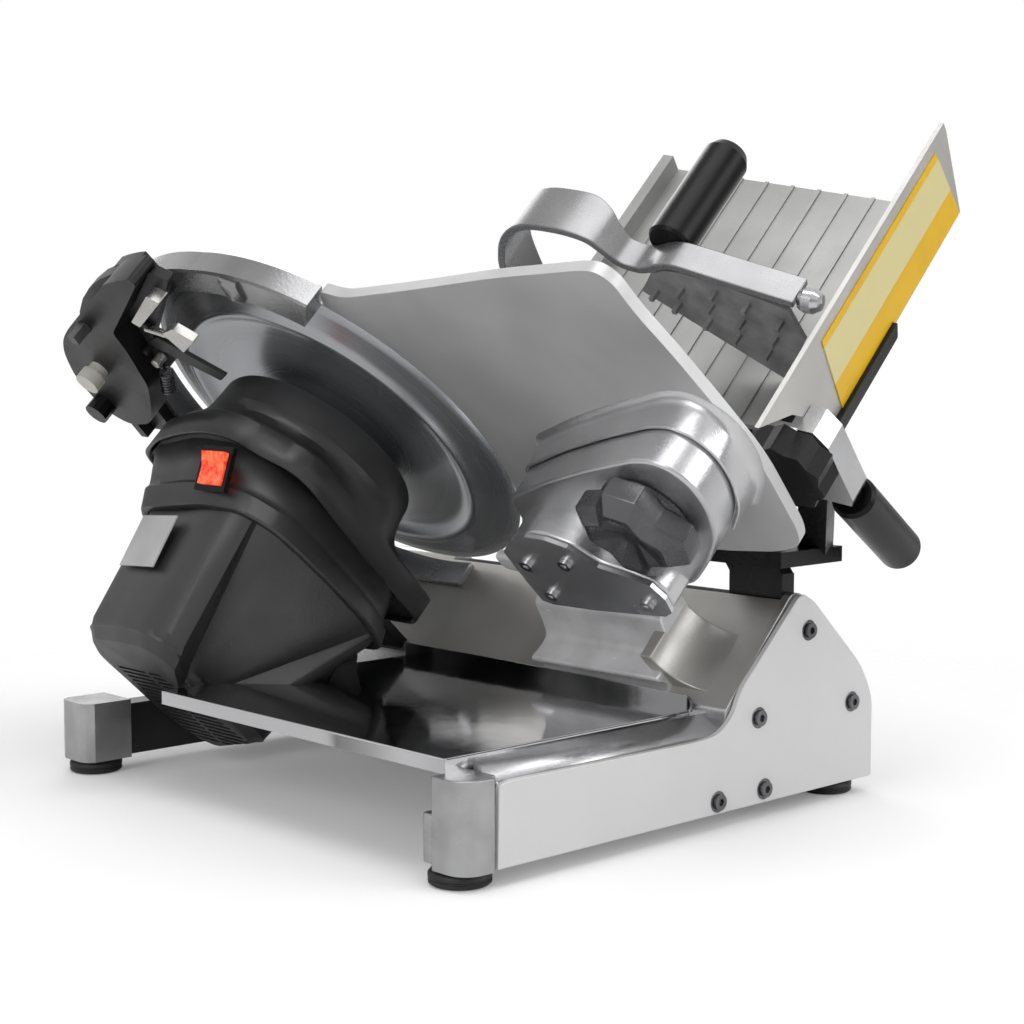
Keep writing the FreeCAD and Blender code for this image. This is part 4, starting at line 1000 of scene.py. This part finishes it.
knob = build(
    "knob_wings", knob_frame,
    *stack([
        wings(0.96, -58.2), wings(1, -59), wings(1, -71), wings(0.99, -71.8), wings(0.72, -79.6),
        wings(0.66, -80), wings(0.6, -79.4), wings(0.2, -74),
    ]),
    "knob", "knob_grey", knob_finish, "thickness_knob",
)
crease(knob, 25)
round_edges(knob, 0.5, 2, 30)
knob_skirt = build(
    "knob_skirt", knob_frame,
    *spun([(5.2, -59), (27, -59), (29, -57.5), (29, -54.6), (28, -53.6), (5.2, -53.6)], 72),
    "knob", "knob_grey", knob_finish, "thickness_knob",
)
crease(knob_skirt)

# Carriage
# A black arm rises from the slot in the hump and carries the leaning food plate.
# The plate is ribbed aluminium, closed by an end wall with a plain coloured band.
arm_paint = plastic("arm_paint", (0.006, 0.006, 0.007), (0.011, 0.011, 0.011), (0.22, 0.32), gleam=0.25)
dress("carriage_arm", arm_paint, 1.5)
plate_satin = metal("plate_satin", (0.30, 0.30, 0.295), (0.40, 0.40, 0.395), (0.32, 0.44), body=0.75)
dress("food_plate", plate_satin, 0.5)
wall_paint = metal("wall_paint", (0.50, 0.49, 0.47), (0.58, 0.57, 0.55), (0.30, 0.40), body=0.5)
dress("end_wall", wall_paint, 0.8)


def stripe(tree, value, low, high, soft):
    """One inside two limits of a coordinate and nothing outside, with soft borders."""
    sides = []
    for limit, sign in ((low, 1), (high, -1)):
        ramp = tree.nodes.new("ShaderNodeMapRange")
        ramp.inputs["From Min"].default_value = limit - sign * soft
        ramp.inputs["From Max"].default_value = limit + sign * soft
        tree.links.new(value, ramp.inputs["Value"])
        sides.append(ramp.outputs[0])
    return calculated(tree, sides[0], "MULTIPLY", sides[1])


band_paint, band_tree, band_shader, band_place = fresh_finish("band_paint", 0.0)
band_yellow = tinted(
    band_tree, wander(band_tree, band_place, 30, 0, 1), (0.74, 0.43, 0.001), (0.80, 0.48, 0.002),
)
band_height = own_axes(band_tree, band_place, carriage_frame)[0]
band_cream = stripe(band_tree, band_height, -0.0925, -0.061, 0.0004)
band_tree.links.new(
    tinted(band_tree, band_cream, band_yellow, (0.70, 0.62, 0.30)), band_shader.inputs["Base Color"],
)
band_tree.links.new(wander(band_tree, band_place, 50, 0.32, 0.42), band_shader.inputs["Roughness"])
label = build(
    "label_band", carriage_frame,
    *prism(softened([(-98, 79), (-98, 238), (-36.5, 249), (-36.5, 78)], 1.5), -371.9, -371.1, "y"),
    "carriage", "label_cream", band_paint, "label_plate",
)
crease(label, 30)
wall_strip = build(
    "end_wall_strip", carriage_frame,
    *prism(softened([(-40, 60), (-30, 57), (-30, 146), (-40, 150)], 1.5), -375, -371.2, "y"),
    "carriage", "arm_black", arm_paint,
)
round_edges(wall_strip, 1)

# Hub, clamp knob and handle
# The hub is a polished casting under the end wall, where a black lobed knob clamps the food plate.
# The carriage is pushed along by a glossy black plastic handle beside it.
dress("carriage_hub", polished, 5)
dress("clamp_knob", arm_paint, 1.2)
dress("push_handle", gloss_black, 1)

# Pusher
# A bent bar of satin grey metal whose sleeve runs on a round rod, with a black grip for the hand.
# The dark toothed plate below it holds the food, and a bright steel ball ends the bar.
PUSHER_PATH = [
    (109, -350), (116, -309), (122, -275), (121, -263), (116, -252), (114, -242), (117, -229), (126, -219),
    (133, -211), (136, -200), (137, -186), (136, -170), (131, -157), (120, -145), (106, -137),
    (88, -131.5), (52, -130), (30, -132), (14, -139), (5, -150), (2, -168),
]
BAR_WIDTH = 5.5
BAR_FOOT = 90
BAR_TOP = 110
BAR_RISE = 14


def smooth_path(points):
    """Points along a soft curve through all the given ones."""
    padded = [points[0]] + list(points) + [points[-1]]
    result = []
    for index in range(1, len(padded) - 2):
        a, b, c, d = (Vector(padded[index + offset]) for offset in (-1, 0, 1, 2))
        bend = 2 * a - 5 * b + 4 * c - d
        twist = 3 * b - a - 3 * c + d
        for t in (0, 0.2, 0.4, 0.6, 0.8):
            result.append(0.5 * (2 * b + (c - a) * t + bend * t * t + twist * t ** 3))
    result.append(Vector(points[-1]))
    return result


bar = smooth_path(PUSHER_PATH)
bar_loops = []
for index, here in enumerate(bar):
    run = run_at(bar, index)
    out = Vector((run.y, -run.x)).normalized() * BAR_WIDTH
    part = index / (len(bar) - 1)
    arch = max(0, min(1, (part - 0.30) / 0.16))
    top = BAR_TOP + BAR_RISE * arch * arch * (3 - 2 * arch)
    loop = []
    for side, level in ((0, BAR_FOOT), (1, BAR_FOOT), (1, top), (0, top)):
        spot = here + out * side
        loop.append((-spot.x, spot.y, level))
    bar_loops.append(loop)
bar_metal = metal(
    "bar_metal", (0.22, 0.22, 0.225), (0.32, 0.32, 0.325), (0.20, 0.30), relief=0.00001, body=0.7,
)
pusher = build(
    "pusher_bar", carriage_frame, *stack(bar_loops), "pusher", "polished_casting", bar_metal, "pusher_arm",
)
round_edges(pusher, 1.0, 3, 40)
sleeve = build(
    "pusher_sleeve", shifted(carriage_frame, -5, -178),
    *spun([(7.4, 90), (12.4, 90), (13, 90.6), (13, 129.4), (12.4, 130), (7.4, 130)], 64), "pusher",
    "polished_casting", polished, "pusher_arm",
)
crease(sleeve)
tooth_paint = metal(
    "tooth_paint", (0.20, 0.20, 0.205), (0.34, 0.34, 0.345), (0.28, 0.38), blotch=60, body=0.35,
)
dress("grip_plate", tooth_paint, 0.4)
dress("pusher_grip", gloss_black, 1)
dress("pusher_bumper", bright_steel, 0.4)

# Sharpener
# A black cast head over the top of the ring, on a bracket, with two stones, one pale and one dark push
# button and a lock knob. On the blade's side the head is open and shows a shelf, two guide blocks, a
# deflector, four pins and a coil spring.
sharpener_paint = plastic(
    "sharpener_paint", (0.007, 0.007, 0.007), (0.012, 0.012, 0.012), (0.32, 0.44), gleam=0.3,
)
dress("sharpener_bracket", sharpener_paint, 1)
HEAD = [
    (203, -34), (200, -2), (158, 98), (149, 115), (136, 130), (110, 147), (76, 150), (60, 134), (62, 105),
    (78, 84), (103, 60), (137, 46), (155, 42), (197, -36),
]
HEAD_REACH = [3, 10, 12, 12, 14, 12, 10, 10, 8, 10, 6, 4, 4, 3]
HEAD_BACK = -62
HEAD_OPEN = -40.3
HEAD_WALL = 3.2
black_head = ("sharpener", "arm_black", sharpener_paint, "sharpener_body")
head = build(
    "sharpener_head", blade_frame, *prism(softened(up(HEAD), HEAD_REACH, 4), HEAD_BACK, HEAD_OPEN),
    *black_head,
)
carve(head, blade_frame, *prism(up(inset(HEAD, 3)), HEAD_BACK + HEAD_WALL, HEAD_OPEN + 1.3))
# Round holes for the two push buttons and for the stem of the lock knob.
for height, side, radius in ((120, 102, 7.4), (161.6, 69.6, 5.4), (84, 138, 4.3)):
    hole = [(0, HEAD_BACK - 2), (radius, HEAD_BACK - 2), (radius, HEAD_BACK + 5), (0, HEAD_BACK + 5)]
    carve(head, shifted(blade_frame, -height, side), *spun(hole, 40))
round_edges(head, 3, 3, 40)
SHELF = [(186, -45), (195, -33), (156, 37), (137, 41), (106, 54), (101, 55), (138, 28)]
shelf = build(
    "sharpener_shelf", blade_frame, *prism(softened(up(SHELF), 2), -47.5, HEAD_OPEN), *black_head,
)
round_edges(shelf, 0.8)
deflector = build(
    "sharpener_deflector", blade_frame,
    *prism(softened(up([(134, 36), (137, 24), (100, -17), (95, -6), (128, 38)]), 1.5), -48.5, -45.5),
    *black_head,
)
round_edges(deflector, 0.5)
steel_block = metal(
    "guide_block", (0.40, 0.39, 0.37), (0.52, 0.51, 0.49), (0.2, 0.3), relief=0.000005, body=0.75,
)
for label, outline, top, foot in (
    ("high", [(183, -26), (176, -33), (155, 14), (160, 19)], -57, -47),
    ("low", [(146, 1), (150, -15), (138, -27), (128, -4)], -54, -47.5),
):
    block = build(
        f"sharpener_block_{label}", blade_frame, *prism(softened(up(outline), 1.2, 3), top, foot),
        "sharpener", "arm_black", steel_block, "sharpener_body",
    )
    round_edges(block, 0.8)


def pin_along(name, start, end, radius, material):
    """A turned pin with small chamfers between two points of the blade's frame."""
    way = Vector(end) - Vector(start)
    length = way.length
    turned = way.to_track_quat("Z", "Y").to_matrix().to_4x4()
    profile = [
        (0, 0), (radius - 0.6, 0), (radius, 0.6), (radius, length - 0.6), (radius - 0.6, length),
        (0, length),
    ]
    pin = build(
        name, shifted(blade_frame, *start) @ turned, *spun(profile, 28), "sharpener", "arm_black",
        material, "sharpener_body",
    )
    crease(pin)


pin_along("sharpener_pin_link", (-148, 22, -51), (-139, -3, -51), 2, steel_block)
pin_along("sharpener_pin_foot", (-150, 20, -52), (-150, 20, -46), 3.4, sharpener_paint)
pin_along("sharpener_pin_stop", (-117, 42, -55), (-117, 42, -46), 3.6, steel_block)
pin_along("sharpener_pin_end", (-127, 44, -54), (-127, 44, -46), 2.4, sharpener_paint)
SPRING_LENGTH = 26
COIL_RADIUS = 4.2
WIRE_RADIUS = 0.8
TURN_STEPS = 16
SPRING_STEPS = 7 * TURN_STEPS
spring_loops = []
for step in range(SPRING_STEPS + 1):
    angle = 2 * math.pi * step / TURN_STEPS
    along = SPRING_LENGTH * step / SPRING_STEPS
    loop = []
    for side in (0, 1.257, 2.513, 3.770, 5.027):
        reach = COIL_RADIUS + WIRE_RADIUS * math.cos(side)
        level = along + WIRE_RADIUS * math.sin(side)
        loop.append((reach * math.cos(angle), reach * math.sin(angle), level))
    spring_loops.append(loop)
spring_way = Vector((24, 22, 0)).to_track_quat("Z", "Y").to_matrix().to_4x4()
build(
    "sharpener_spring", shifted(blade_frame, -104, 50, -49) @ spring_way, *stack(spring_loops),
    "sharpener", "arm_black", dark_steel, "sharpener_body",
)
pale = plastic("pale_button", (0.52, 0.50, 0.45), (0.62, 0.60, 0.55), (0.4, 0.5))
dull_button = plastic("dull_button", (0.05, 0.05, 0.05), (0.08, 0.08, 0.08), (0.4, 0.5))
stone = plastic("stone_grit", (0.16, 0.15, 0.14), (0.24, 0.23, 0.21), (0.7, 0.85), grain=900, relief=0.0002)
dress("grind_button", pale, 0.6)
dress("deburr_button", dull_button, 0.6)
dress("sharpener_lock", gloss_black, 0.6)
for node in ("grinding_stone", "deburring_stone"):
    dress(node, stone, 0.4)
